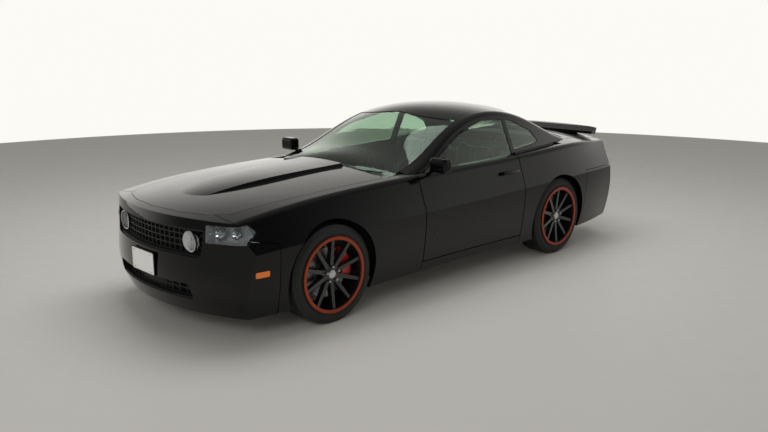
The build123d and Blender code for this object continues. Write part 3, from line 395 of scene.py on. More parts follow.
def peg(radius, length, sides=20, edge=0.2):
    """A round or many-sided peg along Z, in mm, with rounded rims."""
    bm = bmesh.new()
    wide, deep = radius * MM, length * MM
    bmesh.ops.create_cone(bm, cap_ends=True, segments=sides, radius1=wide, radius2=wide, depth=deep)
    rims = [e for e in bm.edges if rise_of(e) < deep / 4]
    bevel(bm, rims, radius * edge, 2)
    return bm


def looking(way, across, spot):
    """A place whose Z looks along way and whose X is as near as can be to across."""
    z = Vector(way).normalized()
    y = z.cross(Vector(across)).normalized()
    turn = Matrix((y.cross(z), y, z)).transposed().to_4x4()
    turn.translation = spot
    return turn


def at(x, y, z):
    """An unturned place."""
    return Matrix.Translation((x, y, z))


def gather(parts):
    """One bmesh from several (bmesh, place) pairs."""
    whole = bmesh.new()
    for bm, place in parts:
        bm.transform(place)
        mesh = bpy.data.meshes.new("part")
        bm.to_mesh(mesh)
        bm.free()
        whole.from_mesh(mesh)
        bpy.data.meshes.remove(mesh)
    return whole


def bar(points, radius, closed=False, smooth=True):
    """A round bar along points, with its radius in mm."""
    curve = bpy.data.curves.new("bar", "CURVE")
    curve.dimensions = "3D"
    curve.bevel_depth = radius * MM
    curve.bevel_resolution = 2
    curve.use_fill_caps = not closed
    spline = curve.splines.new("NURBS" if smooth else "POLY")
    spline.points.add(len(points) - 1)
    for knot, spot in zip(spline.points, points):
        knot.co = (*spot, 1)
    spline.use_cyclic_u = closed
    if smooth:
        spline.order_u = 3
        spline.use_endpoint_u = not closed
    holder = bpy.data.objects.new("bar", curve)
    mesh = bpy.data.meshes.new_from_object(holder)
    bm = bmesh.new()
    bm.from_mesh(mesh)
    bmesh.ops.remove_doubles(bm, verts=bm.verts, dist=WELD)
    bmesh.ops.recalc_face_normals(bm, faces=bm.faces)
    for waste, store in ((holder, bpy.data.objects), (curve, bpy.data.curves), (mesh, bpy.data.meshes)):
        store.remove(waste)
    return bm


def sheet_on(node, across, along, start_z, rise, thickness):
    """A sheet laid on a CAD node from a height, on its top where rise is -1 and under it where rise is 1."""
    toward = Vector((0, 0, rise))
    bm = bmesh.new()
    bmesh.ops.create_grid(bm, x_segments=20, y_segments=20, size=0.5)
    for vert in bm.verts:
        x = across[0] + (across[1] - across[0]) * (vert.co.x + 0.5)
        y = along[0] + (along[1] - along[0]) * (vert.co.y + 0.5)
        vert.co = touch(node, (x, y, start_z), toward)[0] - toward * thickness
    if rise > 0:
        bmesh.ops.reverse_faces(bm, faces=bm.faces)
    bmesh.ops.solidify(bm, geom=bm.faces[:], thickness=thickness * 0.9)
    return bm


def rim_loops(node, faces_out):
    """The closed loops of edges round the outer face of each solid in a CAD node."""
    bm = merged(node)
    bmesh.ops.dissolve_degenerate(bm, dist=0.05 * MM, edges=bm.edges)
    outer = {f for f in bm.faces if faces_out(f)}
    rim = [e for e in bm.edges if len(e.link_faces) == 2 and sum(f in outer for f in e.link_faces) == 1]
    beside = {}
    for edge in rim:
        a, b = edge.verts
        beside.setdefault(a, []).append(b)
        beside.setdefault(b, []).append(a)
    loops = []
    left = set(beside)
    while left:
        at = min(left, key=lambda v: v.index)
        loop = [at]
        left.discard(at)
        while True:
            ways = [v for v in beside[at] if v in left]
            if not ways:
                break
            at = ways[0]
            left.discard(at)
            loop.append(at)
        if len(loop) > 8:
            loops.append([v.co.copy() for v in loop])
    bm.free()
    return loops


def thinned(loop, step):
    """A loop with points nearer than a step to the last one left out."""
    kept = [loop[0]]
    for spot in loop[1:]:
        if (spot - kept[-1]).length > step:
            kept.append(spot)
    return kept


def out_of_cabin(face):
    way = face.calc_center_median() - CABIN
    return face.normal.dot(way.normalized()) > 0.3


def out_of_nose(face):
    side = 1 if face.calc_center_median().x > 0 else -1
    return face.normal.dot(Vector((side * 0.55, -0.83, 0))) > 0.3


def out_of_tail(face):
    side = 1 if face.calc_center_median().x > 0 else -1
    return face.normal.dot(Vector((side * 0.5, 0.86, 0))) > 0.4


def wheel_spot(place):
    """Centre of a wheel and the way its outer face looks, from the tyre's CAD box."""
    low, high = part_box("tyre_" + place)
    return (low + high) / 2, (1 if low.x > 0 else -1)


def set_on_wheel(bm, place):
    """Moves a bmesh drawn for a left wheel at the origin to its place on the car."""
    centre, side = wheel_spot(place)
    turn = HERE if side > 0 else Matrix.Rotation(pi, 4, "Z")
    bm.transform(Matrix.Translation(centre) @ turn)


class CarOperator(bpy.types.Operator):
    """Shared options of the car's operators"""

    bl_options = {"REGISTER", "UNDO"}


class MUSCLECAR_OT_panels(CarOperator):
    """Paints the body panels and gives the structure, cabin and running gear their finishes"""

    bl_idname = "muscle_car.panels"
    bl_label = "Paint Body and Chassis"

    def execute(self, context):
        elsewhere = ("headlamps", "front_seats", "rear_seat")
        finish = {"lamp": "reflector"}
        for part in frame["record"]["subparts"]:
            node, slot = part["node"], part["material_slot"]
            if slot != "tyre" and node not in elsewhere:
                dress_node(node, finish.get(slot, slot))
        return {"FINISHED"}


class MUSCLECAR_OT_seals(CarOperator):
    """Runs black rubber round the fixed windows and lamps"""

    bl_idname = "muscle_car.seals"
    bl_label = "Fit Seals"

    def execute(self, context):
        # Columns: node, which faces look out, bar radius in mm
        rows = (
            ("windscreen", out_of_cabin, 3.0),
            ("rear_window", out_of_cabin, 6.0),
            ("quarter_windows", out_of_cabin, 4.5),
            ("headlamps", out_of_nose, 3.0),
            ("tail_lamps", out_of_tail, 4.0),
        )
        for node, faces_out, radius in rows:
            loops = [thinned(loop, 4 * MM) for loop in rim_loops(node, faces_out)]
            bars = [(bar(loop, radius, closed=True, smooth=False), HERE) for loop in loops]
            finish_mesh(bars, node + "_seal", "rubber", body_of(node))
        return {"FINISHED"}


class MUSCLECAR_OT_belt(CarOperator):
    """Closes the joint between roof and quarter with a black belt moulding"""

    bl_idname = "muscle_car.belt"
    bl_label = "Fit Belt Mouldings"

    def execute(self, context):
        for side, sign in SIDES:
            spots = []
            for i in range(13):
                y = 0.745 + 0.052 * i
                low, _ = touch("quarter_" + side, (sign * QUARTER_X, y, FAR_ABOVE), (0, 0, -1))
                high, _ = touch("roof_frame", (sign * FAR_ASIDE, y, low.z + 24 * MM), (-sign, 0, 0))
                spots.append(Vector((sign * (QUARTER_X * 0.55 + abs(high.x) * 0.45), y, low.z + 6 * MM)))
            finish_mesh(bar(spots, 15), "belt_moulding_" + side, "black_plastic")
        return {"FINISHED"}


class MUSCLECAR_OT_ducts(CarOperator):
    """Backs the lower grille with a black air duct that follows the nose"""

    bl_idname = "muscle_car.ducts"
    bl_label = "Back Lower Grille"

    def execute(self, context):
        low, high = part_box("lower_grille")
        half, bow = high.x - 8 * MM, high.y - low.y
        bm = bmesh.new()
        bmesh.ops.create_grid(bm, x_segments=28, y_segments=1, size=1)
        bmesh.ops.scale(bm, vec=(half, (high.z - low.z) / 2 + 6 * MM, 1), verts=bm.verts)
        bm.transform(looking((0, -1, 0), (1, 0, 0), Vector((0, low.y + 34 * MM, (low.z + high.z) / 2))))
        for vert in bm.verts:
            vert.co.y += bow * (vert.co.x / high.x) ** 2
        bmesh.ops.solidify(bm, geom=bm.faces[:], thickness=4 * MM)
        finish_mesh(bm, "grille_duct", "lamp_black")
        return {"FINISHED"}


class MUSCLECAR_OT_tyres(CarOperator):
    """Makes the four tyres, with grooved tread and ribbed sidewalls"""

    bl_idname = "muscle_car.tyres"
    bl_label = "Fit Tyres"

    def execute(self, context):
        low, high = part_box("tyre_front_left")
        half_width, radius = (high.x - low.x) / 2, (high.z - low.z) / 2
        depth = sizes().tread_depth
        base = radius - depth
        bead = 258 * MM
        tread_half = half_width - 20 * MM
        ribs = 6
        rib = 2 * tread_half / ribs
        # Columns: in from the sidewall's widest point, in from the tread, in mm
        wall_rows = (
            (9, 20), (3, 34), (0, 50), (0.5, 60), (3.5, 61.5), (3.5, 65), (1, 66.5), (4, 78), (6.5, 79),
            (10, 89),
        )
        right = [(half_width - x * MM, radius - r * MM) for x, r in wall_rows]
        right.append((half_width - 12 * MM, bead))
        tread = [(-tread_half + i * rib, base) for i in range(ribs + 1)]
        left = [(-x, r) for x, r in reversed(right)]
        for place in WHEELS:
            bm = spun([*left, *tread, *right], 96)
            blocks = [f for f in bm.faces if all(abs(v.co.yz.length - base) < 0.1 * MM for v in f.verts)]
            bmesh.ops.inset_individual(bm, faces=blocks, thickness=2.2 * MM, depth=depth - 0.3 * MM)
            set_on_wheel(bm, place)
            piece = finish_mesh(bm, "tyre_tread_" + place, "tyre", "wheel_" + place, sharp=radians(28))
            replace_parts(piece, "tyre_" + place)
        return {"FINISHED"}


class MUSCLECAR_OT_lips(CarOperator):
    """Rings each rim's outer lip in copper red and adds the centre cap, wheel nuts and valve"""

    bl_idname = "muscle_car.lips"
    bl_label = "Ring Wheel Lips"

    def execute(self, context):
        low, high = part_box("rim_front_left")
        centre, _ = wheel_spot("front_left")
        face = high.x - centre.x
        edge = (high.z - low.z) / 2
        width = sizes().lip_width
        profile = [
            (face - 6 * MM, edge + 0.6 * MM),
            (face + 1.2 * MM, edge + 0.6 * MM),
            (face + 2.2 * MM, edge - 4 * MM),
            (face + 1.2 * MM, edge - width),
            (face - 8 * MM, edge - width - 4 * MM),
            (face - 8 * MM, edge - width),
            (face - 1 * MM, edge - width + 4 * MM),
            (face - 1 * MM, edge - 3 * MM),
        ]
        cap = [(92, 0.1), (101, 0.1), (101, 18), (99.5, 25), (98.5, 26), (98.5, 29), (97, 32), (92, 32)]
        out = Vector((1, 0, 0))
        for place in WHEELS:
            bm = spun(profile, 128)
            set_on_wheel(bm, place)
            finish_mesh(bm, "lip_ring_" + place, "lip", "wheel_" + place)
            bm = turned(cap, 48)
            set_on_wheel(bm, place)
            finish_mesh(bm, "centre_cap_" + place, "satin_alloy", "wheel_" + place)
            nuts = []
            for turn in range(5):
                way = Matrix.Rotation(turn * 2 * pi / 5, 4, "X") @ Vector((0, 0, 54 * MM))
                nuts.append((peg(9.5, 18, 6), looking(out, way, way + out * 101 * MM)))
                nuts.append((peg(6.5, 6, 16), looking(out, way, way + out * 111 * MM)))
            stem = Matrix.Rotation(radians(18), 4, "X") @ Vector((0, 0, 232 * MM))
            nuts.append((peg(4, 34, 14), looking(out, stem, stem + out * 100 * MM)))
            bm = gather(nuts)
            set_on_wheel(bm, place)
            finish_mesh(bm, "wheel_nuts_" + place, "satin_alloy", "wheel_" + place)
        return {"FINISHED"}


class MUSCLECAR_OT_headlamps(CarOperator):
    """Splits each headlamp into clear lens and bright housing, with two projectors inside"""

    bl_idname = "muscle_car.headlamps"
    bl_label = "Fit Headlamps"

    def execute(self, context):
        bm = merged("headlamps")
        bmesh.ops.delete(bm, geom=[f for f in bm.faces if not out_of_nose(f)], context="FACES")
        shell = bm.copy()
        bmesh.ops.solidify(bm, geom=bm.faces[:], thickness=2.5 * MM)
        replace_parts(finish_mesh(bm, "headlamp_lenses", "lens"), "headlamps")
        front = shell.faces[:]
        grown = bmesh.ops.extrude_face_region(shell, geom=front, use_keep_orig=True)["geom"]
        corners = [v for v in grown if isinstance(v, bmesh.types.BMVert)]
        bmesh.ops.translate(shell, verts=corners, vec=(0, HOUSING_DEPTH, 0))
        bmesh.ops.delete(shell, geom=front, context="FACES")
        bmesh.ops.recalc_face_normals(shell, faces=shell.faces)
        bmesh.ops.solidify(shell, geom=shell.faces[:], thickness=2 * MM)
        finish_mesh(shell, "headlamp_housings", "dark_chrome")
        # Columns: along the lamp's way out and radius, in mm
        bowl = ((-26, 12), (-4, 37), (0, 39), (1, 42), (-3, 44), (-24, 44), (-30, 30))
        ball = ((-20, 0.1), (-20, 25), (-12, 26), (-4, 21), (1, 12), (3, 0.1))
        bowls, balls = [], []
        for side in (1, -1):
            # Columns: across, up, depth behind the lens, size
            for x, z, depth, scale in ((664, 722, 34, 1.0), (764, 727, 46, 0.86)):
                hit, _ = touch("headlamps", (side * x * MM, FAR_AHEAD, z * MM), (0, 1, 0))
                place = looking((0, -1, 0), (0, 0, 1), hit + Vector((0, depth * MM, 0))) @ X_TO_Z
                place = place @ Matrix.Scale(scale, 4)
                bowls.append((turned(bowl, 48), place))
                balls.append((turned(ball, 48), place))
        finish_mesh(bowls, "headlamp_bowls", "reflector")
        finish_mesh(balls, "headlamp_projectors", "lens")
        return {"FINISHED"}


class MUSCLECAR_OT_driving_lamps(CarOperator):
    """Gives the grille's driving lamps a bright ring and a fluted lens"""

    bl_idname = "muscle_car.driving_lamps"
    bl_label = "Fit Driving Lamps"

    def execute(self, context):
        low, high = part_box("driving_lamps")
        radius = (high.z - low.z) / 2
        middle_z = (high.z + low.z) / 2
        middle_x = high.x - radius
        ring = ((-8, 0), (7, 0), (9, -4), (7, -9), (-2, -11), (-8, -9))
        dome = ((-1, -999), (9, -999), (8.4, -40), (6, -24), (1, -11), (-2, -11))
        rings, domes = [], []
        for side in (1, -1):
            hit, _ = touch("driving_lamps", (side * middle_x, FAR_AHEAD, middle_z), (0, 1, 0))
            place = looking((0, -1, 0), (0, 0, 1), hit) @ X_TO_Z
            rings.append((turned(ring, 64, radius), place))
            domes.append((turned(dome, 64, radius), place))
        finish_mesh(rings, "driving_lamp_rings", "satin_alloy", "body")
        finish_mesh(domes, "driving_lamp_lenses", "fluted_lens")
        return {"FINISHED"}


class MUSCLECAR_OT_plates(CarOperator):
    """Screws a bare plate in a black frame to the nose and to the tail"""

    bl_idname = "muscle_car.plates"
    bl_label = "Fit Plates"

    def execute(self, context):
        width, height = sizes().plate_width / MM, sizes().plate_height / MM
        for name, node, way, middle in (("front", "front_bumper", -1, 455), ("rear", "rear_bumper", 1, 600)):
            hit, _ = touch(node, (0, way * FAR_BEHIND, middle * MM), (0, -way, 0))
            out = Vector((0, way, 0))
            rear = [
                (slab((width + 14, height + 14, 6), 12, 1.5), looking(out, ACROSS, hit + out * 4 * MM)),
                (block((width * 0.7, height * 0.7, 40), 4), looking(out, ACROSS, hit - out * 16 * MM)),
            ]
            finish_mesh(rear, f"{name}_plate_frame", "black_plastic")
            bm = slab((width, height, 2), 10, 0.5)
            top = [f for f in bm.faces if f.normal.z > 0.9]
            bmesh.ops.inset_region(bm, faces=top, thickness=5 * MM, depth=0)
            bmesh.ops.inset_region(bm, faces=top, thickness=1.5 * MM, depth=-0.8 * MM)
            bm.transform(looking(out, ACROSS, hit + out * 8 * MM))
            finish_mesh(bm, f"{name}_plate", "plate")
            screws = []
            for x in (-0.38, 0.38):
                for z in (-0.4, 0.4):
                    spot = hit + Vector((x * width, 0, z * height)) * MM + out * 9.5 * MM
                    screws.append((peg(5.5, 5, 6), looking(out, ACROSS, spot)))
            finish_mesh(screws, f"{name}_plate_screws", "satin_alloy")
        return {"FINISHED"}


class MUSCLECAR_OT_mirrors(CarOperator):
    """Sets silvered glass in the door mirrors"""

    bl_idname = "muscle_car.mirrors"
    bl_label = "Set Mirror Glass"

    def execute(self, context):
        for side in ("left", "right"):
            node = "mirror_" + side
            bm = merged(node)
            bmesh.ops.delete(bm, geom=[f for f in bm.faces if f.normal.y < 0.999], context="FACES")
            bmesh.ops.dissolve_limit(bm, angle_limit=radians(2), verts=bm.verts, edges=bm.edges)
            rim = bmesh.ops.inset_region(bm, faces=bm.faces[:], thickness=4 * MM, depth=0, use_boundary=True)
            bmesh.ops.delete(bm, geom=rim["faces"], context="FACES")
            bmesh.ops.translate(bm, verts=bm.verts, vec=(0, 1.2 * MM, 0))
            bmesh.ops.solidify(bm, geom=bm.faces[:], thickness=2 * MM)
            finish_mesh(bm, f"mirror_glass_{side}", "mirror", body_of(node))
        return {"FINISHED"}


class MUSCLECAR_OT_handles(CarOperator):
    """Fits the door handles, with a lock beside each, and a flush cap over the lower hinge's bore"""

    bl_idname = "muscle_car.handles"
    bl_label = "Fit Door Handles"

    def execute(self, context):
        along = Vector((0, 1, 0))
        for side, sign in SIDES:
            node = "door_" + side
            parts = []
            feet = []
            for y in (470, 640):
                hit, normal = touch(node, (sign * FAR_ASIDE, y * MM, HANDLE_Z), (-sign, 0, 0))
                feet.append((hit, normal))
                parts.append((block((34, 26, 40), 6), looking(normal, along, hit + normal * 8 * MM)))
            middle = (feet[0][0] + feet[1][0]) / 2
            normal = (feet[0][1] + feet[1][1]).normalized()
            grip = block((214, 30, 13), 5.5, 4)
            parts.append((grip, looking(normal, feet[1][0] - feet[0][0], middle + normal * 27 * MM)))
            finish_mesh(parts, "handle_" + side, "paint", node)
            hit, normal = touch(node, (sign * FAR_ASIDE, 0.69, HANDLE_Z), (-sign, 0, 0))
            lock = peg(8, 6, 24)
            lock.transform(looking(normal, along, hit + normal * 1 * MM))
            finish_mesh(lock, "door_lock_" + side, "satin_alloy", node)
            rims = [touch(node, (sign * FAR_ASIDE, -0.40, z * MM), (-sign, 0, 0))[0] for z in (448, 496)]
            out = (rims[1] - rims[0]).cross(along).normalized()
            out = out if out.x * sign > 0 else -out
            cap = peg(17, 5, 40, 0.06)
            cap.transform(looking(out, along, (rims[0] + rims[1]) / 2 - out * 1.5 * MM))
            finish_mesh(cap, "hinge_cap_" + side, "paint", node)
        return {"FINISHED"}


class MUSCLECAR_OT_wipers(CarOperator):
    """Lays the two wipers at the foot of the windscreen"""

    bl_idname = "muscle_car.wipers"
    bl_label = "Lay Wipers"

    def execute(self, context):
        # Columns: blade's two ends, arm's pivot, in mm across
        for name, ends, pivot in (("left", (600, 40), 610), ("right", (20, -500), 40)):
            spots = []
            for i in range(9):
                x = ends[0] + (ends[1] - ends[0]) * i / 8
                hit, normal = touch("windscreen", (x * MM, -2, 0.935), (0, 1, 0))
                spots.append((hit, normal))
            parts = [(bar([hit + normal * 7 * MM for hit, normal in spots], 4.5), HERE)]
            parts.append((bar([hit + normal * 15 * MM for hit, normal in spots], 3), HERE))
            foot, _ = touch("cowl", (pivot * MM, -0.72, FAR_ABOVE), (0, 0, -1))
            grip = spots[4][0] + spots[4][1] * 18 * MM
            knee = foot.lerp(grip, 0.3) + Vector((0, -12 * MM, 12 * MM))
            parts.append((bar([foot + Vector((0, 0, 14 * MM)), knee, grip], 6), HERE))
            parts.append((peg(14, 34, 24), Matrix.Translation(foot + Vector((0, 0, 6 * MM)))))
            finish_mesh(parts, "wiper_" + name, "rubber")
        return {"FINISHED"}


class MUSCLECAR_OT_brakes(CarOperator):
    """Marks the brake discs' drill holes with thin black discs of painted shade, and bolts the calipers"""

    bl_idname = "muscle_car.brakes"
    bl_label = "Detail Brakes"

    def execute(self, context):
        out = Vector((1, 0, 0))
        for place in WHEELS:
            centre, side = wheel_spot(place)
            # Each drill hole is a 1 mm black disc on the disc's face: painted shade standing in for the dark
            # inside a hole, which is not cut
            hole_shades = []
            node = "disc_" + place
            for ring, reach in enumerate((118, 138, 158)):
                for turn in range(16):
                    angle = 2 * pi * (turn + ring * 0.34) / 16
                    way = Vector((0, sin(angle), cos(angle)))
                    hit, _ = touch(node, centre + way * reach * MM + out * side * 0.3, -out * side)
                    hole_shades.append((peg(4.5, 1.0, 10), looking(out * side, way, hit)))
            finish_mesh(hole_shades, "disc_hole_shades_" + place, "lamp_black", "wheel_" + place)
        for node in ("caliper_left", "caliper_right", "rear_calipers"):
            low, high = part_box(node)
            bolts = []
            for side in (1, -1):
                if low.x * side > 0 or high.x * side > 0:
                    for z in (-46, 46):
                        middle = (low + high) / 2
                        start = Vector((side * FAR_ASIDE, middle.y, middle.z + z * MM))
                        hit, _ = touch(node, start, (-side, 0, 0))
                        bolts.append((peg(8, 12, 6), looking((side, 0, 0), (0, 0, 1), hit)))
            finish_mesh(bolts, node + "_bolts", "satin_alloy", body_of(node))
        return {"FINISHED"}


class MUSCLECAR_OT_seats(CarOperator):
    """Pads the seats in leather, with bolsters and sewn channels"""

    bl_idname = "muscle_car.seats"
    bl_label = "Pad Seats"

    def execute(self, context):
        # Columns: node, piece, middles of the sitting places, half width of one, channel spacing, in mm
        rows = (
            ("front_seats", "front_seat_pads", (390, -390), 210, 62),
            ("rear_seat", "rear_seat_pad", (270, -270), 260, 80),
        )
        for node, name, middles, half, spacing in rows:
            mesh = self.swollen(node)
            bm = bmesh.new()
            bm.from_mesh(mesh)
            bpy.data.meshes.remove(mesh)
            bmesh.ops.subdivide_edges(bm, edges=bm.edges[:], cuts=1, use_grid_fill=True, smooth=0.4)
            bm.normal_update()
            moves = []
            for vert in bm.verts:
                across = min((vert.co.x - m * MM for m in middles), key=abs)
                facing = max(0.0, vert.normal.dot(Vector((0, -0.75, 0.66))))
                near = min(abs(abs(across) - k * spacing * MM) for k in (0, 1, 2))
                sewn = abs(across) < spacing * 2.2 * MM
                groove = -GROOVE_DEPTH * exp(-((near / GROOVE_HALF) ** 2)) if sewn else 0
                edge = min(1.0, max(0.0, (abs(across) - 0.62 * half * MM) / (0.22 * half * MM)))
                bolster = BOLSTER_RISE * edge * edge * (3 - 2 * edge)
                moves.append(vert.normal * (groove + bolster) * min(1.0, facing * 1.6))
            for vert, move in zip(bm.verts, moves):
                vert.co += move
            bmesh.ops.smooth_vert(
                bm, verts=bm.verts, factor=0.35, use_axis_x=True, use_axis_y=True, use_axis_z=True
            )
            piece = finish_mesh(bm, name, "leather", sharp=SOFT_ANGLE)
            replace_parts(piece, node)
        return {"FINISHED"}

    def swollen(self, node):
        """A remeshed copy of a seat's CAD solid, blown up by cloth pressure but no further than a cap."""
        bm = merged(node)
        mesh = bpy.data.meshes.new(node + "_start")
        bm.to_mesh(mesh)
        bm.free()
        pad = bpy.data.objects.new(node + "_start", mesh)
        scene = bpy.context.scene
        scene.collection.objects.link(pad)
        remesh = pad.modifiers.new("Remesh", "REMESH")
        remesh.mode = "VOXEL"
        remesh.voxel_size = 10 * MM
        start = bpy.data.meshes.new_from_object(pad.evaluated_get(bpy.context.evaluated_depsgraph_get()))
        pad.modifiers.clear()
        pad.data = start
        cloth = pad.modifiers.new("Cloth", "CLOTH")
        cloth.settings.quality = 4
        cloth.settings.use_pressure = True
        cloth.settings.uniform_pressure_force = SWELL_FORCE
        cloth.settings.effector_weights.gravity = 0
        cloth.point_cache.frame_end = SWELL_FRAMES
        for step in range(1, SWELL_FRAMES + 1):
            scene.frame_set(step)
        blown = bpy.data.meshes.new_from_object(pad.evaluated_get(bpy.context.evaluated_depsgraph_get()))
        for before, after in zip(start.vertices, blown.vertices):
            move = after.co - before.co
            if move.length > SWELL_CAP:
                after.co = before.co + move * (SWELL_CAP / move.length)
        scene.frame_set(1)
        pad.modifiers.clear()
        bpy.data.objects.remove(pad)
        bpy.data.meshes.remove(start)
        bpy.data.meshes.remove(mesh)
        return blown


class MUSCLECAR_OT_cabin(CarOperator):
    """Adds gauges, vents, a blank screen, a gear lever and door trims to the cabin"""

    bl_idname = "muscle_car.cabin"
    bl_label = "Detail Cabin"

    def execute(self, context):
        rings, dials, needles = [], [], []
        back = Vector((0, 1, 0))
        # Columns: across, up, radius
        for x, z, radius in ((440, 800, 56), (300, 800, 56), (370, 830, 26)):
            hit, _ = touch("dashboard", (x * MM, 0.4, z * MM), (0, -1, 0))
            ring = ((-12, 0), (14, 0), (16, -3), (14, -6), (-2, -8), (-12, -8))
            rings.append((turned(ring, 40, radius * MM), looking(back, ACROSS, hit + back * 4 * MM) @ X_TO_Z))
            dials.append((peg(radius - 5, 6, 40, 0.03), looking(back, ACROSS, hit + back * 2 * MM)))
            aim = Vector((cos(radians(215)), 0, sin(radians(215))))
            needle = block((radius * 0.7, 2.4, 1.6), 0.5)
            needles.append((needle, looking(back, aim, hit + back * 7 * MM + aim * radius * 0.3 * MM)))
        finish_mesh(rings, "gauge_rings", "satin_alloy")
        finish_mesh(dials, "gauge_dials", "lamp_black")
        finish_mesh(needles, "gauge_needles", "red_lens")

        vents = []
        for x in (520, 90, -90, -520):
            hit, _ = touch("dashboard", (x * MM, 0.4, 0.815), (0, -1, 0))
            vents.append((slab((104, 60, 12), 14, 2), looking(back, ACROSS, hit + back * 2 * MM)))
            for z in (-16, -5.5, 5.5, 16):
                spot = hit + back * 9 * MM + Vector((0, 0, z * MM))
                vents.append((block((84, 3, 6), 1), looking(back, ACROSS, spot)))
        finish_mesh(vents, "dash_vents", "lamp_black")
        hit, normal = touch("dashboard", (0, 0.4, 0.72), (0, -1, 0))
        screen = slab((190, 110, 8), 8, 1.5)
        screen.transform(looking(normal, ACROSS, hit + normal * 3 * MM))
        finish_mesh(screen, "dash_screen", "dark_glass")

        _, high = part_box("console")
        foot = Vector((0, -0.16, high.z))
        boot = turned(((0, 62), (14, 54), (34, 30), (60, 14), (60, 2), (0, 2)), 32)
        boot.transform(looking((0, 0.1, 1), ACROSS, foot) @ X_TO_Z)
        finish_mesh(boot, "shift_boot", "leather")
        lever = bar([foot + Vector((0, y, z)) for y, z in ((0, 0.02), (0.006, 0.08), (0.016, 0.15))], 6)
        finish_mesh(lever, "shift_lever", "satin_alloy")
        knob = bmesh.new()
        bmesh.ops.create_uvsphere(knob, u_segments=32, v_segments=20, radius=26 * MM)
        bmesh.ops.scale(knob, vec=(1, 1, 1.15), verts=knob.verts)
        knob.transform(Matrix.Translation(foot + Vector((0, 0.02, 0.168))))
        finish_mesh(knob, "shift_knob", "leather")
        holders = []
        for y in (0.02, 0.12):
            ring = turned(((-2, 44), (4, 44), (5, 40), (3, 36), (-2, 36)), 40)
            holders.append((ring, looking((0, 0, 1), ACROSS, Vector((0, y, high.z))) @ X_TO_Z))
        finish_mesh(holders, "cup_holders", "satin_alloy")
        rest = block((150, 300, 70), 26, 5)
        rest.transform(at(0, 0.40, high.z + 26 * MM))
        finish_mesh(rest, "arm_rest", "leather")

        for side, sign in SIDES:
            node = "door_" + side
            hit, _ = touch(node, (0, 0.1, 0.70), (sign, 0, 0))
            inward = Vector((-sign, 0, 0))
            along = Vector((0, 1, 0))
            parts = [
                (block((560, 60, 56), 22, 4), looking(inward, along, (hit.x - sign * 16 * MM, 0.12, 0.70))),
                (slab((900, 150, 22), 50, 8), looking(inward, along, (hit.x - sign * 5 * MM, 0.10, 0.82))),
            ]
            finish_mesh(parts, "door_pad_" + side, "leather", node)
            ring = turned(((-4, 82), (8, 82), (10, 76), (6, 70), (-4, 70)), 48)
            ring.transform(looking(inward, along, Vector((hit.x, -0.30, 0.50))) @ X_TO_Z)
            finish_mesh(ring, "speaker_ring_" + side, "lamp_black", node)
            pull = block((110, 20, 16), 6, 3)
            pull.transform(looking(inward, along, (hit.x - sign * 22 * MM, -0.22, 0.83)))
            finish_mesh(pull, "door_pull_" + side, "satin_alloy", node)
        return {"FINISHED"}


class MUSCLECAR_OT_linings(CarOperator):
    """Lays carpet in cabin and trunk and lines the hood and the trunk lid"""

    bl_idname = "muscle_car.linings"
    bl_label = "Lay Carpets and Linings"

    def execute(self, context):
        # Columns: piece, node, across, along, height that the sheet is laid from, up or down, thickness in mm
        rows = (
            ("hood_lining", "hood", (-0.50, 0.50), (-2.02, -0.90), 0.3, 1, 6),
            ("trunk_lid_lining", "trunk_lid", (-0.40, 0.40), (1.90, 2.18), 0.6, 1, 5),
            ("shelf_felt", "rear_shelf", (-0.46, 0.46), (1.50, 1.76), 2.0, -1, 4),
            ("trunk_carpet", "floor_structure", (-0.53, 0.53), (1.37, 2.22), 0.9, -1, 6),
            ("floor_carpet_left", "floor_structure", (0.20, 0.54), (-0.66, 0.96), 0.4, -1, 8),
            ("floor_carpet_right", "floor_structure", (-0.54, -0.20), (-0.66, 0.96), 0.4, -1, 8),
        )
        for name, node, across, along, start_z, rise, thickness in rows:
            bm = sheet_on(node, across, along, start_z, rise, thickness * MM)
            finish_mesh(bm, name, "carpet", body_of(node), sharp=SOFT_ANGLE)
        return {"FINISHED"}


